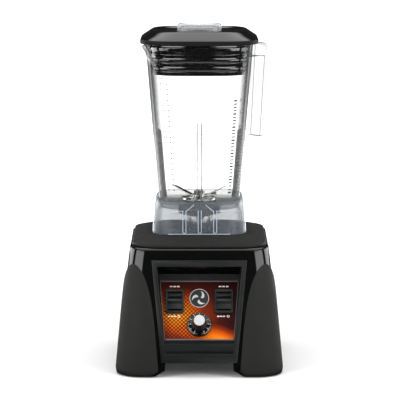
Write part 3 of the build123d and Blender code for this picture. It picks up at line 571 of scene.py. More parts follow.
def worktop(name):
    """Pale plain floor that stays even out to its edge."""
    finish = Finish(name)
    finish.colour(finish.ramp(finish.noise(3, 3), (0.3, (0.80, 0.80, 0.80)), (0.7, (0.82, 0.82, 0.82))))
    split = finish.node("ShaderNodeSeparateXYZ")
    finish.link(finish.place, split.inputs["Vector"])
    away = finish.node("ShaderNodeVectorMath", operation="LENGTH")
    finish.link(finish.place, away.inputs[0])
    glow = finish.span(away.outputs["Value"], 0.03, 1.1, 0.25, 1.3)
    finish.link(glow, finish.shader.inputs["Emission Strength"])
    finish.set(Roughness=0.6, Emission_Color=(1, 1, 1, 1))
    # mirrored in gloss, the floor shows pale cards with dark gaps between them
    output = finish.tree.nodes["Material Output"]
    rays = finish.node("ShaderNodeLightPath")
    cards = finish.node("ShaderNodeEmission")
    card = card_pattern(finish, split, CARD_START, FLOOR_CARD_END)
    near = finish.span(away.outputs["Value"], 0.0, FLOOR_CARD_LEVEL, 0.6, 0.8)
    far = finish.span(away.outputs["Value"], 1.0, 0.0, 1.9, 2.2)
    finish.link(finish.math("MULTIPLY", card, finish.math("MULTIPLY", near, far)), cards.inputs["Strength"])
    mix = finish.node("ShaderNodeMixShader")
    finish.link(mirrored(finish, rays), mix.inputs["Fac"])
    finish.link(finish.shader.outputs["BSDF"], mix.inputs[1])
    finish.link(cards.outputs["Emission"], mix.inputs[2])
    finish.link(mix.outputs["Shader"], output.inputs["Surface"])
    return finish.material


# Each finish: its maker and the maker's values
FINISHES = {
    "gloss_black": (moulded, (0.002,) * 3, (0.003,) * 3, 0.05, 0.08, 1500, 0.02),
    "matte_black": (moulded, (0.013, 0.013, 0.0122), (0.0165, 0.0165, 0.0158), 0.55, 0.66, 2600, 0.35, 0.14),
    "panel_black": (moulded, (0.005, 0.006, 0.006), (0.008, 0.009, 0.009), 0.30, 0.40, 3200, 0.2, 0.4),
    "lid_black": (moulded, (0.002, 0.0024, 0.0024), (0.004,) * 3, 0.05, 0.08, 900, 0.02, 0.95),
    "edge_black": (moulded, (0.004,) * 3, (0.006,) * 3, 0.5, 0.6, 900, 0.02, 0.1),
    # clear finishes: their grey at glancing angles is painted shade for the dark surroundings that thick
    # edges refract
    "clear": (see_through, (0.05, 0.052, 0.054), (0.065, 0.067, 0.07), (0.02, 0.80), 0.26, 0.03, 1.10),
    "clear_edge": (see_through, (0.10, 0.102, 0.105), (0.13, 0.133, 0.137), (0.03, 0.85), 0.10, 0.04, 1.08),
    # painted highlight: the cap's pale tint stands for the bright reflections in it
    "clear_cap_painted_highlight": (see_through, (0.40, 0.405, 0.415), (0.48, 0.485, 0.50), (0.14, 0.85), 0.06, 0.04, 1.25),
    # painted shade: near-opaque grey for the dark lines that thick rib flanks and grip edges refract
    "clear_painted_shade_line": (see_through, (0.10, 0.102, 0.105), (0.14, 0.143, 0.147), (0.72, 0.90), 0.10, 0.05, 1.08),
    "smoke": (see_through, (0.13, 0.15, 0.17), (0.16, 0.18, 0.205), (0.30, 0.85), 0.25, 0.2),
    "frost": (see_through, (0.34, 0.39, 0.45), (0.40, 0.45, 0.51), (0.80, 0.95), 0.4, 0.3),
    # painted light: paler grey for the bezel's up-facing shelf, a lit copy of its black plastic
    "shelf_painted_light": (moulded, (0.03,) * 3, (0.04,) * 3, 0.45, 0.55, 3200, 0.2, 0.4),
    # painted highlight: pale grey for the bright line along the black label border
    "border_painted_highlight": (moulded, (0.10,) * 3, (0.13,) * 3, 0.35, 0.45, 3200, 0.1, 0.4),
    "steel": (metal, (0.42, 0.42, 0.41), (0.58, 0.58, 0.57), 0.14, 0.26, (1, 1, 14)),
    "white_plastic": (moulded, (0.42,) * 3, (0.46,) * 3, 0.25, 0.35, 1200, 0.05),
    "copper": (metal, (0.50, 0.20, 0.08), (0.75, 0.36, 0.18), 0.28, 0.42, (1, 1, 30)),
    "lamination": (metal, (0.16, 0.16, 0.17), (0.34, 0.34, 0.35), 0.35, 0.5, (0.2, 0.2, 40)),
    "aluminium": (metal, (0.58, 0.58, 0.59), (0.70, 0.70, 0.71), 0.38, 0.5, (1, 1, 1)),
    "carbon": (moulded, (0.02,) * 3, (0.04,) * 3, 0.6, 0.75, 900, 0.3),
    "board_green": (moulded, (0.01, 0.08, 0.03), (0.02, 0.13, 0.05), 0.3, 0.45, 500, 0.1),
    "seal_rubber": (moulded, (0.015,) * 3, (0.022,) * 3, 0.6, 0.75, 1800, 0.3),
    "label": (label_print,),
    "white_ink": (printed, (0.82,) * 3, (0.9,) * 3),
    "grey_ink": (printed, (0.012,) * 3, (0.02,) * 3),
    "pale_ink": (printed, (0.12,) * 3, (0.16,) * 3),
    "silver_ink": (printed, (0.42,) * 3, (0.55,) * 3, 0.35),
    "floor": (worktop,),
}
MADE = {}


def finish_named(name):
    """The material of that name, made on first use."""
    if name not in MADE:
        make, *values = FINISHES[name]
        MADE[name] = make(name, *values)
    return MADE[name]


# --- Settings ------------------------------------------------------------------------------------


class StageSettings(bpy.types.PropertyGroup):
    """Camera and light."""

    pitch: bpy.props.FloatProperty(
        name="Camera pitch",
        description="How far the camera looks down",
        default=radians(9.0),
        subtype="ANGLE",
    )
    distance: bpy.props.FloatProperty(
        name="Camera distance", description="From the aim point", default=2.63, min=0.5, unit="LENGTH"
    )
    aim_height: bpy.props.FloatProperty(
        name="Aim height", description="Height of the aim point on the axis", default=0.212, unit="LENGTH"
    )
    lens: bpy.props.FloatProperty(name="Lens", description="Focal length in millimetres", default=180.0)
    fill: bpy.props.FloatProperty(
        name="Fill light", description="Brightness of the surroundings", default=0.55
    )
    key: bpy.props.FloatProperty(name="Key light", description="Power of the side soft boxes", default=26.0)


class BaseSettings(bpy.types.PropertyGroup):
    """Sizes of the base's own details."""

    edge: bpy.props.FloatProperty(
        name="Edge rounding", description="Radius of moulded edges", default=0.0009, unit="LENGTH"
    )
    pad_thickness: bpy.props.FloatProperty(
        name="Leg cover thickness",
        description="How far the covers stand off the legs",
        default=0.0014,
        unit="LENGTH",
    )


class JarSettings(bpy.types.PropertyGroup):
    """Sizes of the jar's own details."""

    wall: bpy.props.FloatProperty(
        name="Wall", description="Thickness of the jar's wall", default=JAR_WALL, unit="LENGTH"
    )
    mark_size: bpy.props.FloatProperty(
        name="Scale number size",
        description="Height of the numbers on the jar",
        default=0.0060,
        unit="LENGTH",
    )


# --- Base ----------------------------------------------------------------------------------------


def bezel_half(z):
    """Half width of the bezel's tapering outline at a height."""
    return 0.0485 + 0.0125 * (z - 0.019) / 0.130


def leg_flares():
    """Two wedges that bevel the lower inner corners of the legs, across and along the base."""
    wedges = []
    for half, turn in ((ARCH_FRONT, 0), (ARCH_SIDE, pi / 2)):
        low = -0.0002
        reach = half + FLARE_REACH * (FLARE_TOP - low) / FLARE_TOP
        outline = [(-reach, low), (reach, low), (half, FLARE_TOP), (-half, FLARE_TOP)]
        wedges.append(prism("leg_flare", outline, 0.3, Matrix.Rotation(turn, 4, "Z") @ FACING))
    return wedges


class PIECE_OT_housing(bpy.types.Operator):
    """Gloss base casing with four legs, arches between them and the opening for the controls"""

    bl_idname = "jar_blender.housing"
    bl_label = "Base casing"

    def execute(self, context):
        levels = [(0.0012, 0.0012), (0.0018, 0.0003), (0.0027, 0.0)]
        levels += [(0.0035 + 0.157 * i / 26, 0.0) for i in range(27)]
        for i in range(1, 7):
            a = pi / 2 * i / 6
            levels.append((0.1605 + 0.003 * sin(a), 0.003 * (1 - cos(a))))
        housing = as_object("housing", stacked(body_rings(levels)), finish_named("gloss_black"))
        inner = [(0.001, 0.003), (0.05, 0.003), (0.1, 0.003), (0.148, 0.003), (0.1595, 0.004)]
        cavity = as_object("cavity", stacked(body_rings(inner)), None)
        for sx in (-1, 1):
            for sy in (-1, 1):
                # the legs stay closed, so the cavity leaves their corners
                low = (min(sx * ARCH_FRONT, sx * 0.2), min(sy * ARCH_SIDE, sy * 0.2), -0.01)
                high = (max(sx * ARCH_FRONT, sx * 0.2), max(sy * ARCH_SIDE, sy * 0.2), FOOT_TOP)
                cut(cavity, box_solid("leg_block", low, high))
        cut(housing, cavity)
        for half_x, half_y in ((ARCH_FRONT, 0.2), (0.2, ARCH_SIDE)):
            tool = box_solid("arch", (-half_x, -half_y, -0.01), (half_x, half_y, FOOT_TOP))
            cut(housing, tool)
        for tool in leg_flares():
            cut(housing, tool)
        corners = ((-1, 0.018), (1, 0.018), (1, 0.149), (-1, 0.149))
        outline = [(side * bezel_half(z), z) for side, z in corners]
        cut(housing, prism("panel_opening", outline, 0.07, FACING))
        hole = as_object("deck_hole", turned([(0.024, 0.14), (0.024, 0.17)], 64), None)
        cut(housing, hole)
        inlet = Matrix.Translation((-0.032, 0.08, 0.044)) @ Matrix.Rotation(radians(-90), 4, "X")
        bm = bmesh.new()
        bmesh.ops.create_cone(bm, cap_ends=True, segments=48, radius1=0.008, radius2=0.008, depth=0.08)
        bmesh.ops.transform(bm, matrix=inlet, verts=bm.verts)
        cut(housing, as_object("inlet_hole", bm, None))
        bevelled(housing, context.scene.base_settings.edge, 3, 40)
        place(housing, "base", "gloss_black", "housing_shell")
        return {"FINISHED"}


def pad_half(z):
    """Half width of a leg cover across its corner at a height."""
    t = min((z - PAD_BOTTOM) / (PAD_APEX - PAD_BOTTOM), 1.0)
    corner = max(1 - (z - PAD_BOTTOM) / 0.008, 0.0)
    return (0.042 - 0.134 * (z - PAD_BOTTOM)) * (1 - t**6) ** 0.5 - 0.006 * (1 - (1 - corner**2) ** 0.5)


def body_point(angle, z, inset):
    """Point on the base body's form at a bearing from the axis, and its height."""
    half_x, half_y, corner = body_section(z)
    half_x, half_y, corner = half_x - inset, half_y - inset, corner - inset
    direction = Vector((cos(angle), sin(angle)))
    low, high = 0.0, 0.3
    for _ in range(30):
        mid = (low + high) / 2
        p = direction * mid
        dx, dy = abs(p.x) - (half_x - corner), abs(p.y) - (half_y - corner)
        if dx <= 0 or dy <= 0:
            outside = abs(p.x) > half_x or abs(p.y) > half_y
        else:
            outside = hypot(dx, dy) > corner
        low, high = (low, mid) if outside else (mid, high)
    p = direction * low
    return Vector((p.x, p.y, z))


class PIECE_OT_leg_pads(bpy.types.Operator):
    """Matte covers wrapped over the four legs, with rounded lips"""

    bl_idname = "jar_blender.leg_pads"
    bl_label = "Leg covers"

    def execute(self, context):
        thickness = context.scene.base_settings.pad_thickness
        columns, rows = 28, 46
        for name, sx, sy in (
            ("front_left", -1, -1),
            ("front_right", 1, -1),
            ("rear_left", -1, 1),
            ("rear_right", 1, 1),
        ):
            bm = bmesh.new()
            bmesh.ops.create_grid(bm, x_segments=columns, y_segments=rows, size=1)
            diagonal = Vector((sx, sy)).normalized()
            across = Vector((-sy, sx)).normalized()
            for vert in bm.verts:
                u, v = vert.co.x, (vert.co.y + 1) / 2
                v = 1 - (1 - v) ** 2
                z = PAD_BOTTOM + (PAD_APEX - PAD_BOTTOM) * v * 0.9995
                s = u * pad_half(z) + sx * sy * 0.002
                # find where the line across the corner meets the leg's surface
                low, high = 0.0, 0.3
                for _ in range(26):
                    mid = (low + high) / 2
                    p = diagonal * mid + across * s
                    q = body_point(atan2(p.y, p.x), z, 0)
                    outside = p.length > hypot(q.x, q.y)
                    low, high = (low, mid) if outside else (mid, high)
                p = diagonal * low + across * s
                # the lip curls down at the sides, the top and the bottom
                edge = min((1 - abs(u)) * pad_half(z), PAD_APEX - z, z - PAD_BOTTOM)
                lip = min(max(edge, 0.0) / 0.0022, 1.0)
                lift = thickness * (1 - (1 - lip) ** 2) ** 0.5 - 0.0004 * (1 - lip)
                outward = Vector((p.x / body_section(z)[0], p.y / body_section(z)[1])).normalized()
                vert.co = (p.x + outward.x * lift, p.y + outward.y * lift, z)
            pad = as_object(f"leg_cover_{name}", bm, finish_named("matte_black"))
            solid = pad.modifiers.new("Thickness", "SOLIDIFY")
            solid.thickness = 0.0012
            solid.offset = -1
            place(pad, "base", "matte_black", f"leg_pad_{name}")
        return {"FINISHED"}


class PIECE_OT_base_parts(bpy.types.Operator):
    """Feet, base plate, cord inlet and bezel with rounded edges"""

    bl_idname = "jar_blender.base_parts"
    bl_label = "Small base parts"

    def execute(self, context):
        for node, finish, width in (
            ("rubber_feet", "seal_rubber", 0.0004),
            ("base_plate", "panel_black", 0.0004),
            ("cord_inlet", "panel_black", 0.0008),
            ("control_bezel", "panel_black", 0.0008),
        ):
            piece = cad_copy(node, f"{node}_finished", finish_named(finish), width, 3, 25)
            if node == "control_bezel":
                # the cove over the label gets the darker gloss black as painted shade, and the up-facing
                # shelf under it a paler grey as painted light
                piece.data.materials.append(finish_named("gloss_black"))
                piece.data.materials.append(finish_named("shelf_painted_light"))
                for polygon in piece.data.polygons:
                    centre, normal = polygon.center, polygon.normal
                    if abs(centre.x) < 0.052 and 0.112 < centre.z < 0.1405 and centre.y > -0.085:
                        polygon.material_index = 1 if normal.z < 0.05 else 2
            place(piece, "base", finish, node)
        return {"FINISHED"}


class PIECE_OT_jar_pad(bpy.types.Operator):
    """Soft hipped pad that the jar stands on"""

    bl_idname = "jar_blender.jar_pad"
    bl_label = "Jar pad"

    def execute(self, context):
        profile = [(0.0022, 0.16385), (0.0, 0.16385), (0.0, 0.16805), (0.0205, 0.1750), (0.030, 0.1750)]
        rings = []
        for inset, z in (tuple(p) for p in rounded(profile, 0.0032, 6)):
            rings.append(square_ring(0.0865 - inset, 0.0865 - inset, 0.030 + 0.2 * inset, z, 12))
        for radius, z in ((0.0235, 0.1750), (0.0222, 0.1746), (0.022, 0.1738), (0.022, 0.16385)):
            rings.append(round_ring(radius, z, rings[0]))
        pad = as_object("jar_pad_soft", looped(rings), finish_named("matte_black"))
        bevelled(pad, 0.0004, 2, 50)
        place(pad, "jar_pad", "matte_black", "jar_pad")
        return {"FINISHED"}


# --- Controls ------------------------------------------------------------------------------------


def on_label(x, up, lift=0.0):
    """Point on the label's plane."""
    return LABEL_PLANE @ Vector((x, up, lift))


def flat_mark(bm, outline, lift=0.0):
    """Adds a flat mark just over the label's plane to a bmesh."""
    verts = [bm.verts.new(on_label(x, up, lift + MARK_HEIGHT)) for x, up in outline]
    bm.faces.new(verts)


def bar_mark(bm, left, low, width, height):
    """Adds a small bar on the label's plane to a bmesh."""
    right, top = left + width, low + height
    flat_mark(bm, [(left, low), (right, low), (right, top), (left, top)])


def ring_mark(bm, centre, inner, outer, steps, lift=0.0):
    """Adds a flat ring on the label's plane to a bmesh."""
    for i in range(steps):
        a, b = 2 * pi * i / steps, 2 * pi * (i + 1) / steps
        corners = ((inner, a), (outer, a), (outer, b), (inner, b))
        flat_mark(bm, [(centre[0] + r * cos(t), centre[1] + r * sin(t)) for r, t in corners], lift)


def lettering(text, size, matrix):
    """Thin mesh of plain figures placed by a matrix, as a bmesh."""
    curve = bpy.data.curves.new("figures", "FONT")
    curve.body = text
    curve.size = size
    curve.align_x = "CENTER"
    curve.align_y = "CENTER"
    curve.resolution_u = 2
    holder = bpy.data.objects.new("figures", curve)
    bpy.context.scene.collection.objects.link(holder)
    mesh = bpy.data.meshes.new_from_object(holder.evaluated_get(bpy.context.evaluated_depsgraph_get()))
    bpy.data.objects.remove(holder)
    bpy.data.curves.remove(curve)
    bm = bmesh.new()
    bm.from_mesh(mesh)
    bpy.data.meshes.remove(mesh)
    bmesh.ops.transform(bm, matrix=matrix, verts=bm.verts)
    return bm


def join_into(target, source):
    """Moves one bmesh's geometry into another."""
    mesh = bpy.data.meshes.new("joined")
    source.to_mesh(mesh)
    source.free()
    target.from_mesh(mesh)
    bpy.data.meshes.remove(mesh)


def absorb(target, obj):
    """Moves an object's mesh into a bmesh and removes the object."""
    target.from_mesh(obj.data)
    bpy.data.objects.remove(obj)


class PIECE_OT_label(bpy.types.Operator):
    """Printed label with its marks, and the round impeller sign in its middle"""

    bl_idname = "jar_blender.label"
    bl_label = "Control label"

    def execute(self, context):
        label = cad_copy("control_label", "label_sheet", finish_named("label"), 0.0002, 2, 40, smooth=False)
        place(label, "base", "label", "control_label")
        bm = bmesh.new()
        for side in (-1, 1):
            x = side * SWITCH_X
            # bars above each switch, and bars and a ring below it
            up = SWITCH_UP + 0.0195
            for k in range(3):
                bar_mark(bm, x - 0.0065 + 0.0046 * k, up, 0.0034, 0.0016)
            ring_mark(bm, (x + 0.0055, SWITCH_UP - 0.0197), 0.0011, 0.0017, 20)
            for k in range(3):
                bar_mark(bm, x - 0.0085 + 0.0036 * k, SWITCH_UP - 0.0204, 0.0026, 0.0014)
        border = bmesh.new()
        inner = [
            (-LABEL_HALF_LOW, 0),
            (LABEL_HALF_LOW, 0),
            (LABEL_HALF_HIGH, LABEL_LENGTH),
            (-LABEL_HALF_HIGH, LABEL_LENGTH),
        ]
        for k, (start, end) in enumerate(zip(inner, inner[1:] + inner[:1])):
            middle = Vector((0, LABEL_LENGTH / 2))
            width = 0.0017 if k % 2 == 0 else 0.0009
            side = (Vector(end) - Vector(start)).normalized().orthogonal() * width
            if side.dot(Vector(start) - middle) < 0:
                side = -side
            quad = [start, end, tuple(Vector(end) + side), tuple(Vector(start) + side)]
            absorb(border, prism("label_border", quad, 0.0011, LABEL_PLANE))
        # the border is black plastic; its pale grey is a painted highlight along its edges
        edging = as_object("label_border", border, finish_named("border_painted_highlight"), smooth=False)
        bevelled(edging, 0.0004, 2, 40)
        place(edging, "base", "panel_black")
        marks = as_object("label_marks", bm, finish_named("white_ink"), smooth=False)
        place(marks, "base", "white_plastic")
        # impeller sign: a dark disc with a pale rim and three curved blades
        disc, blades = bmesh.new(), bmesh.new()

        def on_sign(radius, angle):
            """Point of the sign at a radius and bearing from its centre."""
            return SIGN_CENTRE[0] + radius * cos(angle), SIGN_CENTRE[1] + radius * sin(angle)

        flat_mark(disc, [on_sign(SIGN_RADIUS, 2 * pi * i / 64) for i in range(64)])
        ring_mark(blades, SIGN_CENTRE, SIGN_RIM_INNER, SIGN_RADIUS, 64, 0.0001)
        for k in range(3):
            turn = 2 * pi * k / 3 + 0.5
            lead, trail = [], []
            for i in range(11):
                t = i / 10
                radius = 0.0022 + 0.0078 * t
                lead.append((radius, turn + 0.9 * t))
                trail.append((radius, turn + 0.9 * t - 0.75 * sin(pi * (0.12 + 0.88 * t)) ** 0.8))
            flat_mark(blades, [on_sign(r, a) for r, a in lead + trail[::-1]], 0.0001)
        place(as_object("sign_disc", disc, finish_named("panel_black"), False), "base", "panel_black")
        place(as_object("sign_blades", blades, finish_named("silver_ink"), False), "base", "steel")
        return {"FINISHED"}


class PIECE_OT_switches(bpy.types.Operator):
    """Paddle switches with rounded edges"""

    bl_idname = "jar_blender.switches"
    bl_label = "Paddle switches"

    def execute(self, context):
        for name in ("run", "power"):
            rim = cad_copy(f"{name}_switch_frame", f"{name}_rim", finish_named("panel_black"), 0.0006, 3)
            place(rim, "base", "panel_black", f"{name}_switch_frame")
            paddle = cad_copy(f"{name}_paddle", f"{name}_rocker", finish_named("panel_black"), 0.0007, 3, 25)
            place(paddle, f"{name}_paddle", "panel_black", f"{name}_paddle")
        return {"FINISHED"}


class PIECE_OT_dial(bpy.types.Operator):
    """Speed dial with grip, cap, ticks and numbers"""

    bl_idname = "jar_blender.dial"
    bl_label = "Speed dial"

    def execute(self, context):
        dial = cad_copy("speed_dial", "dial_grip", finish_named("panel_black"), 0.0003, 2, 30)
        place(dial, "dial", "gloss_black", "speed_dial")
        cap = cad_copy("dial_cap", "dial_white_cap", finish_named("white_plastic"), 0.0005, 3, 40)
        place(cap, "dial", "white_plastic", "dial_cap")
        # markings lie on the skirt's upper face
        skirt_top = 0.0031
        skirt = [(0.0090, 0.0026), (0.0154, 0.0026), (0.0154, 0.0033)]
        skirt += [(0.0150, 0.0036), (0.0104, 0.0058), (0.0090, 0.0058)]
        cone = turned(skirt, 96)
        bmesh.ops.transform(cone, matrix=LABEL_PLANE @ Matrix.Translation((0, DIAL_UP, 0)), verts=cone.verts)
        place(as_object("dial_cone", cone, finish_named("gloss_black")), "dial", "gloss_black")
        bm = bmesh.new()
        for i in range(DIAL_TICKS):
            angle = radians(DIAL_START - DIAL_TICK_STEP * i)
            inner, outer, half = (0.0130, 0.0149, 0.00032) if i % 3 == 0 else (0.0138, 0.0149, 0.00018)
            along, side = Vector((cos(angle), sin(angle))), Vector((-sin(angle), cos(angle)))
            corners = [
                along * inner - side * half,
                along * outer - side * half,
                along * outer + side * half,
                along * inner + side * half,
            ]
            flat_mark(bm, [(p.x, DIAL_UP + p.y) for p in corners], skirt_top + 0.0014)
        for k in range(11):
            angle = radians(DIAL_START - DIAL_NUMBER_STEP * k)
            spot = Vector((0.0116 * cos(angle), DIAL_UP + 0.0116 * sin(angle), skirt_top + 0.0026))
            turn = Matrix.Rotation(angle - pi / 2, 4, "Z")
            join_into(bm, lettering(str(k), 0.0032, LABEL_PLANE @ Matrix.Translation(spot) @ turn))
        marks = as_object("dial_marks", bm, finish_named("silver_ink"), smooth=False)
        place(marks, "dial", "white_plastic")
        return {"FINISHED"}


# --- Jar -----------------------------------------------------------------------------------------


def jar_section(z, inset=0.0):
    """Half width and corner radius of the jar's wall at a height."""
    t = (z - JAR_BOTTOM) / (JAR_RIM - JAR_BOTTOM)
    half = JAR_HALF[0] + (JAR_HALF[1] - JAR_HALF[0]) * t - inset
    corner = JAR_CORNER[0] + (JAR_CORNER[1] - JAR_CORNER[0]) * t - inset
    return half, corner


BOW_RADIUS = 0.29


def bowed_corner(half, corner):
    """Where a side's bow ends, its slope there, and the centre of the corner's arc."""
    end = half - corner
    for _ in range(8):
        slope = end / BOW_RADIUS
        end = half - corner * (cos(slope) - sin(slope)) - end**2 / (2 * BOW_RADIUS)
    return end, slope, end - corner * sin(slope)


def bowed_ring(half, corner, z, corner_steps=12, side_steps=6):
    """Rounded square whose sides bow out a little, with its points in the order of a square ring."""
    end, slope, centre = bowed_corner(half, corner)
    points = []
    for quarter in range(4):
        turn = Matrix.Rotation(quarter * pi / 2, 2)
        for i in range(corner_steps + 1):
            a = slope + (pi / 2 - 2 * slope) * i / corner_steps
            points.append(turn @ Vector((centre + corner * cos(a), centre + corner * sin(a))))
        for i in range(1, side_steps):
            x = end * (1 - 2 * i / side_steps)
            points.append(turn @ Vector((x, half - x * x / (2 * BOW_RADIUS))))
    return [Vector((p.x, p.y, z)) for p in points]


RIB_FLANK = (0.0022, 0.0036)
RIB_STATIONS = (-0.0042, -0.0036, -0.0022, 0.0, 0.0022, 0.0036, 0.0042)


def jar_ring(z, inset=0.0, rib=0.0, corner_steps=14):
    """Ring of the jar's form with an optional rib inside the middle of each wall, and the spout's pull."""
    half, corner = jar_section(z, inset)
    end, slope, centre = bowed_corner(half, corner)
    between = [0.0042 + (end - 0.0042) * i / 4 for i in (1, 2, 3)]
    points = []
    for quarter in range(4):
        turn = Matrix.Rotation(quarter * pi / 2, 2)
        for y in (*RIB_STATIONS, *between):
            depth = rib if abs(y) < 0.0030 else 0.0
            points.append(turn @ Vector((half - depth - y * y / (2 * BOW_RADIUS), y)))
        for i in range(corner_steps + 1):
            a = slope + (pi / 2 - 2 * slope) * i / corner_steps
            points.append(turn @ Vector((centre + corner * cos(a), centre + corner * sin(a))))
        for x in reversed(between):
            points.append(turn @ Vector((x, half - x * x / (2 * BOW_RADIUS))))
    lift = (z - SPOUT_BOTTOM) / (JAR_RIM - SPOUT_BOTTOM)
    if lift > 0:
        pull = min(lift, 1.0) ** 0.8
        tip = SPOUT_TIP - inset * 1.3
        side, bend = SPOUT_SIDE, SPOUT_BEND
        for i, p in enumerate(points):
            if p.x < -side * 0.98 and p.y < -side * 0.98:
                bearing = atan2(-p.y, -p.x)
                t = min(max(bearing / (pi / 2), 0.0), 1.0)
                near = atan2(side, half) / (pi / 2)
                t = (t - near) / (1 - 2 * near)
                t = min(max(t, 0.0), 1.0)
                start, end = Vector((-half, -side)), Vector((-side, -half))
                peak = Vector((-tip, -tip))
                if abs(t - 0.5) < bend:
                    f = (t - 0.5 + bend) / (2 * bend)
                    a = start.lerp(peak, 1 - 2 * bend)
                    b = peak.lerp(end, 2 * bend)
                    target = a * (1 - f) ** 2 + peak * 2 * f * (1 - f) + b * f**2
                elif t < 0.5:
                    target = start.lerp(peak, 2 * t)
                else:
                    target = peak.lerp(end, 2 * t - 1)
                points[i] = p.lerp(target, pull)
    return [Vector((p.x, p.y, z)) for p in points]


class PIECE_OT_jar(bpy.types.Operator):
    """Clear jar with thick walls, inner ribs, rounded rim and a spout"""

    bl_idname = "jar_blender.jar"
    bl_label = "Jar"

    def execute(self, context):
        wall = context.scene.jar_settings.wall
        edge = ((0, 0.004), (0.0006, 0.001), (0.002, 0))
        rings = [jar_ring(JAR_BOTTOM + rise, inset) for rise, inset in edge]
        outside = (0.24, 0.28, 0.32, 0.36, 0.392, 0.397, 0.401, 0.405, 0.409, 0.413, 0.417)
        inside = (0.415, 0.411, 0.407, 0.403, 0.4, 0.3975, 0.392, 0.36, 0.33, 0.3085)
        rings += [jar_ring(z) for z in outside]
        rim_middle = JAR_RIM - wall / 2
        for i in range(9):
            a = pi * i / 8
            rings.append(jar_ring(rim_middle + wall / 2 * sin(a), wall / 2 * (1 - cos(a))))
        rings += [jar_ring(z, wall) for z in inside]
        rings += [jar_ring(RIB_TOP, wall, 0.0015), jar_ring(RIB_TOP - 0.0012, wall, RIB_DEPTH * 0.8)]
        rings += [jar_ring(z, wall, RIB_DEPTH) for z in (0.3035, 0.28, 0.25, 0.225)]
        # the wall turns into the floor
        for z, inset, less in ((0.2165, 0.0004, 0), (0.2135, 0.0016, 0.001), (JAR_FLOOR_TOP, 0.0045, 0.004)):
            rings.append(jar_ring(z, wall + inset, RIB_DEPTH - less))
        # floor round the hole for the bearing housing, and back under it
        for z, radii in ((JAR_FLOOR_TOP, JAR_HOLE_RADII), (JAR_BOTTOM, JAR_HOLE_RADII[::-1])):
            rings += [round_ring(radius, z, jar_ring(JAR_BOTTOM)) for radius in radii]
        jar = as_object("jar_clear", looped(rings), finish_named("clear"))
        # the ribs' flanks get a near-opaque grey: painted shade standing for the dark lines that the thick
        # ribs refract
        jar.data.materials.append(finish_named("clear_painted_shade_line"))
        for polygon in jar.data.polygons:
            x, y, z = (abs(c) for c in polygon.center)
            inside = max(x, y) < jar_section(z)[0] - wall - 0.0006
            if inside and RIB_FLANK[0] < min(x, y) < RIB_FLANK[1] and 0.2165 < z < RIB_TOP + 0.001:
                polygon.material_index = 1
        bevelled(jar, 0.0004, 2, 50)
        place(jar, "jar", "clear", "jar")
        grip = cad_copy("jar_handle", "jar_grip", finish_named("clear_edge"), 0.0026, 5, 30)
        # the grip's rounded edges get a near-opaque grey: painted shade standing for the dark lines that its
        # thick edges refract
        grip.data.materials.append(finish_named("clear_painted_shade_line"))
        grip.modifiers["Rounded edges"].material = 1
        place(grip, "jar", "clear", "jar_handle")
        return {"FINISHED"}


def on_jar_corner(sx, sy, along, z, lift=0.0002):
    """Point and frame on the jar's rounded corner: along is the arc distance from the corner's middle."""
    half, corner = jar_section(z)
    angle = atan2(sy, sx) + along / corner
    middle = bowed_corner(half, corner)[2]
    centre = Vector((sx * middle, sy * middle))
    normal = Vector((cos(angle), sin(angle), 0))
    point = Vector((centre.x, centre.y, z)) + normal * (corner + lift)
    return point, normal


class PIECE_OT_scale_marks(bpy.types.Operator):
    """Filling scale: ticks and plain numbers on two of the jar's corners"""

    bl_idname = "jar_blender.scale_marks"
    bl_label = "Filling scale"

    def execute(self, context):
        size = context.scene.jar_settings.mark_size
        for name, sx, finish, top, spacing, rows, major, columns, number_at in (
            ("right", 1, "grey_ink", 0.3493, 0.00427, 29, 4, ((-0.0104, 0.0048), (0.0066, 0.0040)), 0.0008),
            ("left", -1, "pale_ink", 0.3780, 0.0069, 22, 1, ((0.0138, 0.0022),), 0.0076),
        ):
            bm = bmesh.new()
            for i in range(rows):
                z = top - spacing * i
                bold = i % major == 0
                half = 0.0011 if bold and major > 1 else 0.0008
                for start, length in columns:
                    steps = [start + length * k / 3 for k in range(4)]
                    low = [bm.verts.new(on_jar_corner(sx, -1, s, z - half)[0]) for s in steps]
                    high = [bm.verts.new(on_jar_corner(sx, -1, s, z + half)[0]) for s in steps]
                    for a in range(3):
                        bm.faces.new((low[a], low[a + 1], high[a + 1], high[a]))
                if bold:
                    point, normal = on_jar_corner(sx, -1, number_at, z)
                    side = Vector((0, 0, 1)).cross(normal)
                    turn = Matrix((
                        (side.x, 0, normal.x, point.x),
                        (side.y, 0, normal.y, point.y),
                        (0, 1, 0, point.z),
                        (0, 0, 0, 1),
                    ))
                    figure = (rows - i + major - 1) // major * (1 if major > 1 else 4)
                    join_into(bm, lettering(str(figure), size, turn))
            marks = as_object(f"scale_{name}", bm, finish_named(finish), smooth=False)
            place(marks, "jar", "panel_black")
        return {"FINISHED"}


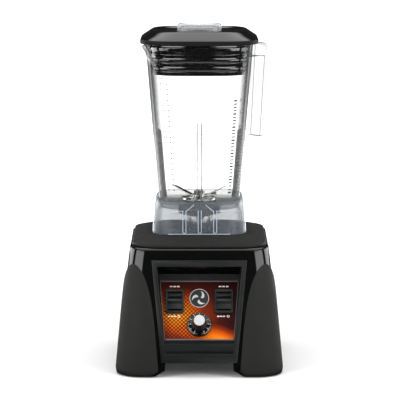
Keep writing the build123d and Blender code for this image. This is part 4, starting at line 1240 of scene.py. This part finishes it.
class PIECE_OT_boot(bpy.types.Operator):
    """Smoky collar under the jar with its raised front ribs"""

    bl_idname = "jar_blender.boot"
    bl_label = "Jar boot"

    def execute(self, context):
        def ring(z, inset=0.0):
            t = (z - BOOT_BOTTOM) / BOOT_HEIGHT
            half = BOOT_HALF - BOOT_TAPER * t - inset
            return square_ring(half, half, max(BOOT_CORNER - inset, 0.006), z, 12)

        # up the outside, over the lip, and down the inside past the jar's seat
        levels = (
            (BOOT_BOTTOM, 0.0012), (0.1757, 0.0003), (0.1766, 0.0), (0.190, 0.0), (0.204, 0.0), (0.2145, 0.0),
            (0.2165, 0.0006), (0.2180, 0.0020), (0.2186, 0.0036), (0.2175, 0.0040), (0.2072, 0.0046),
            (0.2030, 0.0046), (0.2020, 0.0040), (0.195, 0.0034), (0.178, 0.0032), (0.1757, 0.0030),
            (BOOT_BOTTOM, 0.0022),
        )
        rings = [ring(z, inset) for z, inset in levels]
        boot = as_object("boot_collar", looped(rings), finish_named("smoke"))
        lean = Matrix.Translation((0, -0.0610, 0.1765)) @ Matrix.Rotation(-0.103, 4, "X") @ Matrix(
            ((1, 0, 0, 0), (0, 0, 1, 0), (0, 1, 0, 0), (0, 0, 0, 1))
        )
        strokes = bmesh.new()

        def stroke(points, width):
            """Raised line along a path on the boot's front."""
            path = [Vector(p) for p in points]
            left, right = [], []
            for k, point in enumerate(path):
                ahead = (path[min(k + 1, len(path) - 1)] - path[max(k - 1, 0)]).normalized()
                side = Vector((-ahead.y, ahead.x)) * width / 2
                left.append(tuple(point + side))
                right.append(tuple(point - side))
            absorb(strokes, prism("boot_stroke", left + right[::-1], -0.0009, lean))

        for x in (-0.0192, 0.0006, 0.0204):
            half = 0.0020
            turns = [pi * i / 10 for i in range(11)]
            bend = [(x - half * cos(a), 0.0036 - half * sin(a)) for a in turns]
            stroke([(x - half, 0.031), *bend, (x + half, 0.031)], 0.0011)
        for side in (-1, 1):
            stroke([(side * 0.0172 + 0.0006, 0.0300), (side * 0.0075 + 0.0006, 0.0385)], 0.0010)
            stroke([(side * 0.0226 + 0.0006, 0.0300), (side * 0.0400, 0.0305)], 0.0008)
        stroke([(-0.040, 0.0006), (0.040, 0.0006)], 0.0010)
        place(as_object("boot_ribs", strokes, finish_named("frost"), False), "jar", "smoke")
        place(boot, "jar", "smoke", "jar_boot")
        return {"FINISHED"}


class PIECE_OT_blades(bpy.types.Operator):
    """Blade set, bearing housing and drive pieces with rounded edges"""

    bl_idname = "jar_blender.blades"
    bl_label = "Blades and drive"

    def execute(self, context):
        for node, body, width in (
            ("upper_blade", "blades", 0.0002),
            ("lower_blade", "blades", 0.0002),
            ("blade_nut", "blades", 0.0006),
            ("drive_socket", "blades", 0.0006),
            ("bearing_housing", "jar", 0.0004),
            ("drive_coupling", "motor", 0.0006),
        ):
            piece = cad_copy(node, f"{node}_finished", finish_named("steel"), width, 2)
            place(piece, body, "steel", node)
        return {"FINISHED"}


# --- Lid -----------------------------------------------------------------------------------------


class PIECE_OT_lid(bpy.types.Operator):
    """Glossy lid with a ringed plug, a sloping skirt and a dished top"""

    bl_idname = "jar_blender.lid"
    bl_label = "Lid"

    def execute(self, context):
        rings = []

        def plug(z, gap):
            half, corner = jar_section(z, JAR_WALL + gap)
            rings.append(bowed_ring(half, corner, z))

        def top(half, corner, z):
            rings.append(square_ring(half, half, corner, z, 12))

        for z, gap in ((0.3812, 0.0044), (0.381, 0.003), (0.3814, 0.0018), (0.3824, 0.0014)):
            plug(z, gap)
        for centre in (0.386, 0.397, 0.408):
            for i in range(9):
                a = pi * i / 8
                plug(centre - 0.0009 * cos(a), 0.0014 - 0.0005 * sin(a))
        plug(0.419, 0.0014)
        plug(0.421, 0.0012)
        # flange, sloping skirt, rolled crown and dish, then the well for the cap
        for half, corner, z in (
            (0.0745, 0.0415, 0.4208), (0.0757, 0.0420, 0.4209), (0.0760, 0.0420, 0.4213),
            (0.0760, 0.0420, 0.4252), (0.0757, 0.0419, 0.4262), (0.0748, 0.0415, 0.4271),
            (0.0690, 0.0395, 0.4311), (0.0640, 0.0375, 0.4346), (0.0622, 0.0368, 0.4358),
            (0.0606, 0.0360, 0.43665), (0.0592, 0.0352, 0.4370), (0.0578, 0.0345, 0.4368),
            (0.0560, 0.0335, 0.4358), (0.0535, 0.0320, 0.4343), (0.0520, 0.0310, 0.4340),
        ):
            top(half, corner, z)
        for radius, z in (
            (0.0310, 0.4340), (0.0266, 0.4340), (0.0260, 0.4334), (0.0260, 0.4184),
            (0.0264, 0.4180), (0.0286, 0.4180), (0.0290, 0.4184), (0.0290, 0.4290),
        ):
            rings.append(round_ring(radius, z, rings[0]))
        top(0.0570, 0.0310, 0.4290)
        plug(0.426, 0.0050)
        plug(0.400, 0.0044)
        lid = as_object("lid_ringed", looped(rings), finish_named("lid_black"))
        # the flange's edge is a little duller than the lid's top
        lid.data.materials.append(finish_named("edge_black"))
        for polygon in lid.data.polygons:
            if 0.4207 < polygon.center.z < 0.4263 and polygon.center.length > 0.4275:
                polygon.material_index = 1
        place(lid, "lid", "lid_black", "lid")
        return {"FINISHED"}


class PIECE_OT_cap(bpy.types.Operator):
    """Clear cap with a thick rim"""

    bl_idname = "jar_blender.cap"
    bl_label = "Lid cap"

    def execute(self, context):
        outer = [
            (0.0228, 0.4184), (0.0236, 0.4180), (0.0250, 0.4180), (0.0256, 0.4186), (0.0256, 0.4340),
            (0.0262, 0.43435), (0.0282, 0.43435), (0.0290, 0.4352), (0.0290, 0.4413), (0.0282, 0.4431),
            (0.0268, 0.4438), (0.0246, 0.4437), (0.0236, 0.4430), (0.0226, 0.4422), (0.0200, 0.4418),
            (0.0100, 0.4419), (0.0002, 0.4420),
        ]
        inner = [(0.0002, 0.4403), (0.0190, 0.4401), (0.0222, 0.4391), (0.0231, 0.4371), (0.0230, 0.4200)]
        bm = turned(outer + inner, 96)
        # the cap's pale tint is a painted highlight, standing for the reflections that brighten it
        cap = as_object("cap_clear", bm, finish_named("clear_cap_painted_highlight"))
        place(cap, "cap", "clear", "lid_cap")
        return {"FINISHED"}


# --- Remaining frame parts and stage --------------------------------------------------------------


class PIECE_OT_frame_finishes(bpy.types.Operator):
    """Gives every CAD part that still shows the finish of its slot"""

    bl_idname = "jar_blender.frame_finishes"
    bl_label = "Finishes of the frame"

    def execute(self, context):
        slots = {part["node"]: part["material_slot"] for part in frame["record"]["subparts"]}
        for name, obj in frame["nodes"].items():
            obj.data.materials.clear()
            obj.data.materials.append(finish_named(slots[name]))
        return {"FINISHED"}


def soft_box(name, place_at, aim, width, height, power):
    """Area light that faces a point."""
    light = bpy.data.lights.new(name, "AREA")
    light.shape = "RECTANGLE"
    light.size = width
    light.size_y = height
    light.energy = power
    obj = bpy.data.objects.new(name, light)
    obj.location = place_at
    obj.rotation_euler = (Vector(aim) - Vector(place_at)).to_track_quat("-Z", "Y").to_euler()
    bpy.context.scene.collection.objects.link(obj)
    return obj


class Surroundings(Finish):
    """The same helper for a world's nodes."""

    def __init__(self, name):
        self.world = bpy.data.worlds.new(name)
        self.world.use_nodes = True
        self.tree = self.world.node_tree
        self.place = self.node("ShaderNodeTexCoord").outputs["Generated"]


def studio_world(settings):
    """White surroundings; gloss mirrors four pale cards and a soft box overhead out of the dark."""
    maker = Surroundings("studio")
    fill = maker.tree.nodes["Background"]
    fill.inputs["Color"].default_value = (1, 1, 1, 1)
    fill.inputs["Strength"].default_value = settings.fill
    backdrop = maker.node("ShaderNodeBackground")
    backdrop.inputs["Strength"].default_value = 1.05
    gloss = maker.node("ShaderNodeBackground")
    split = maker.node("ShaderNodeSeparateXYZ")
    maker.link(maker.place, split.inputs["Vector"])
    shift = maker.span(split.outputs["Z"], 0.0, radians(27), 0.02, 0.09)
    card = card_pattern(maker, split, CARD_START, CARD_END, shift)
    card = maker.math("MULTIPLY", card, CARD_LEVEL)
    card = maker.math("MULTIPLY", card, maker.span(split.outputs["Z"], 1.0, 0.0, 0.30, 0.42))
    overhead = maker.span(split.outputs["Z"], 0.0, 2.3, 0.60, 0.74)
    level = maker.math("ADD", maker.math("ADD", card, overhead), 0.03)
    maker.link(level, gloss.inputs["Strength"])
    rays = maker.node("ShaderNodeLightPath")
    seen = maker.math("MAXIMUM", rays.outputs["Is Camera Ray"], rays.outputs["Is Transmission Ray"])
    first, second = maker.node("ShaderNodeMixShader"), maker.node("ShaderNodeMixShader")
    maker.link(seen, first.inputs["Fac"])
    maker.link(fill.outputs["Background"], first.inputs[1])
    maker.link(backdrop.outputs["Background"], first.inputs[2])
    maker.link(mirrored(maker, rays), second.inputs["Fac"])
    maker.link(first.outputs["Shader"], second.inputs[1])
    maker.link(gloss.outputs["Background"], second.inputs[2])
    maker.link(second.outputs["Shader"], maker.tree.nodes["World Output"].inputs["Surface"])
    return maker.world


class STAGE_OT_studio(bpy.types.Operator):
    """Pale floor, soft boxes, white surroundings and the camera"""

    bl_idname = "jar_blender.studio"
    bl_label = "Studio"

    def execute(self, context):
        settings = context.scene.stage_settings
        scene = context.scene
        bm = bmesh.new()
        bmesh.ops.create_circle(bm, cap_ends=True, segments=64, radius=16.0)
        as_object("floor", bm, finish_named("floor"), smooth=False)
        scene.world = studio_world(settings)
        aim = (0, 0, 0.22)
        for name, at, width, height, power in (
            ("left_box", (-1.6, -1.2, 1.0), 0.8, 1.3, settings.key),
            ("right_box", (1.6, -1.2, 1.0), 0.8, 1.3, settings.key),
            ("top_box", (0, 0.0, 1.8), 1.2, 1.2, settings.key),
        ):
            soft_box(name, at, aim, width, height, power).visible_glossy = False
        camera = bpy.data.cameras.new("camera")
        camera.lens = settings.lens
        camera.shift_x = 0.7 / 400
        eye = bpy.data.objects.new("camera", camera)
        eye.location = (
            0,
            -settings.distance * cos(settings.pitch),
            settings.aim_height + settings.distance * sin(settings.pitch),
        )
        eye.rotation_euler = (pi / 2 - settings.pitch, 0, 0)
        scene.collection.objects.link(eye)
        scene.camera = eye
        scene.view_settings.view_transform = "Standard"
        return {"FINISHED"}


class PANEL_PT_blender(bpy.types.Panel):
    """Lists the pieces and their settings"""

    bl_idname = "PANEL_PT_jar_blender"
    bl_label = "Countertop blender"
    bl_space_type = "VIEW_3D"
    bl_region_type = "UI"
    bl_category = "Blender Jar"

    def draw(self, context):
        layout = self.layout
        for settings in ("stage_settings", "base_settings", "jar_settings"):
            group = getattr(context.scene, settings)
            for key in group.bl_rna.properties.keys():
                if key not in ("rna_type", "name"):
                    layout.prop(group, key)
        for operator in OPERATORS:
            layout.operator(operator.bl_idname)


OPERATORS = (
    STAGE_OT_studio,
    PIECE_OT_frame_finishes,
    PIECE_OT_housing,
    PIECE_OT_leg_pads,
    PIECE_OT_base_parts,
    PIECE_OT_jar_pad,
    PIECE_OT_label,
    PIECE_OT_switches,
    PIECE_OT_dial,
    PIECE_OT_jar,
    PIECE_OT_scale_marks,
    PIECE_OT_boot,
    PIECE_OT_blades,
    PIECE_OT_lid,
    PIECE_OT_cap,
)
SETTINGS = {"stage_settings": StageSettings, "base_settings": BaseSettings, "jar_settings": JarSettings}


def register():
    """Registers the settings, operators and panel."""
    for name, group in SETTINGS.items():
        bpy.utils.register_class(group)
        setattr(bpy.types.Scene, name, bpy.props.PointerProperty(type=group))
    for cls in (*OPERATORS, PANEL_PT_blender):
        bpy.utils.register_class(cls)


def unregister():
    """Removes them again."""
    for cls in (PANEL_PT_blender, *reversed(OPERATORS)):
        bpy.utils.unregister_class(cls)
    for name, group in SETTINGS.items():
        delattr(bpy.types.Scene, name)
        bpy.utils.unregister_class(group)


def main():
    """Builds every piece in order."""
    register()
    for operator in OPERATORS:
        group, _, name = operator.bl_idname.partition(".")
        getattr(getattr(bpy.ops, group), name)()


if __name__ == "__main__":
    main()
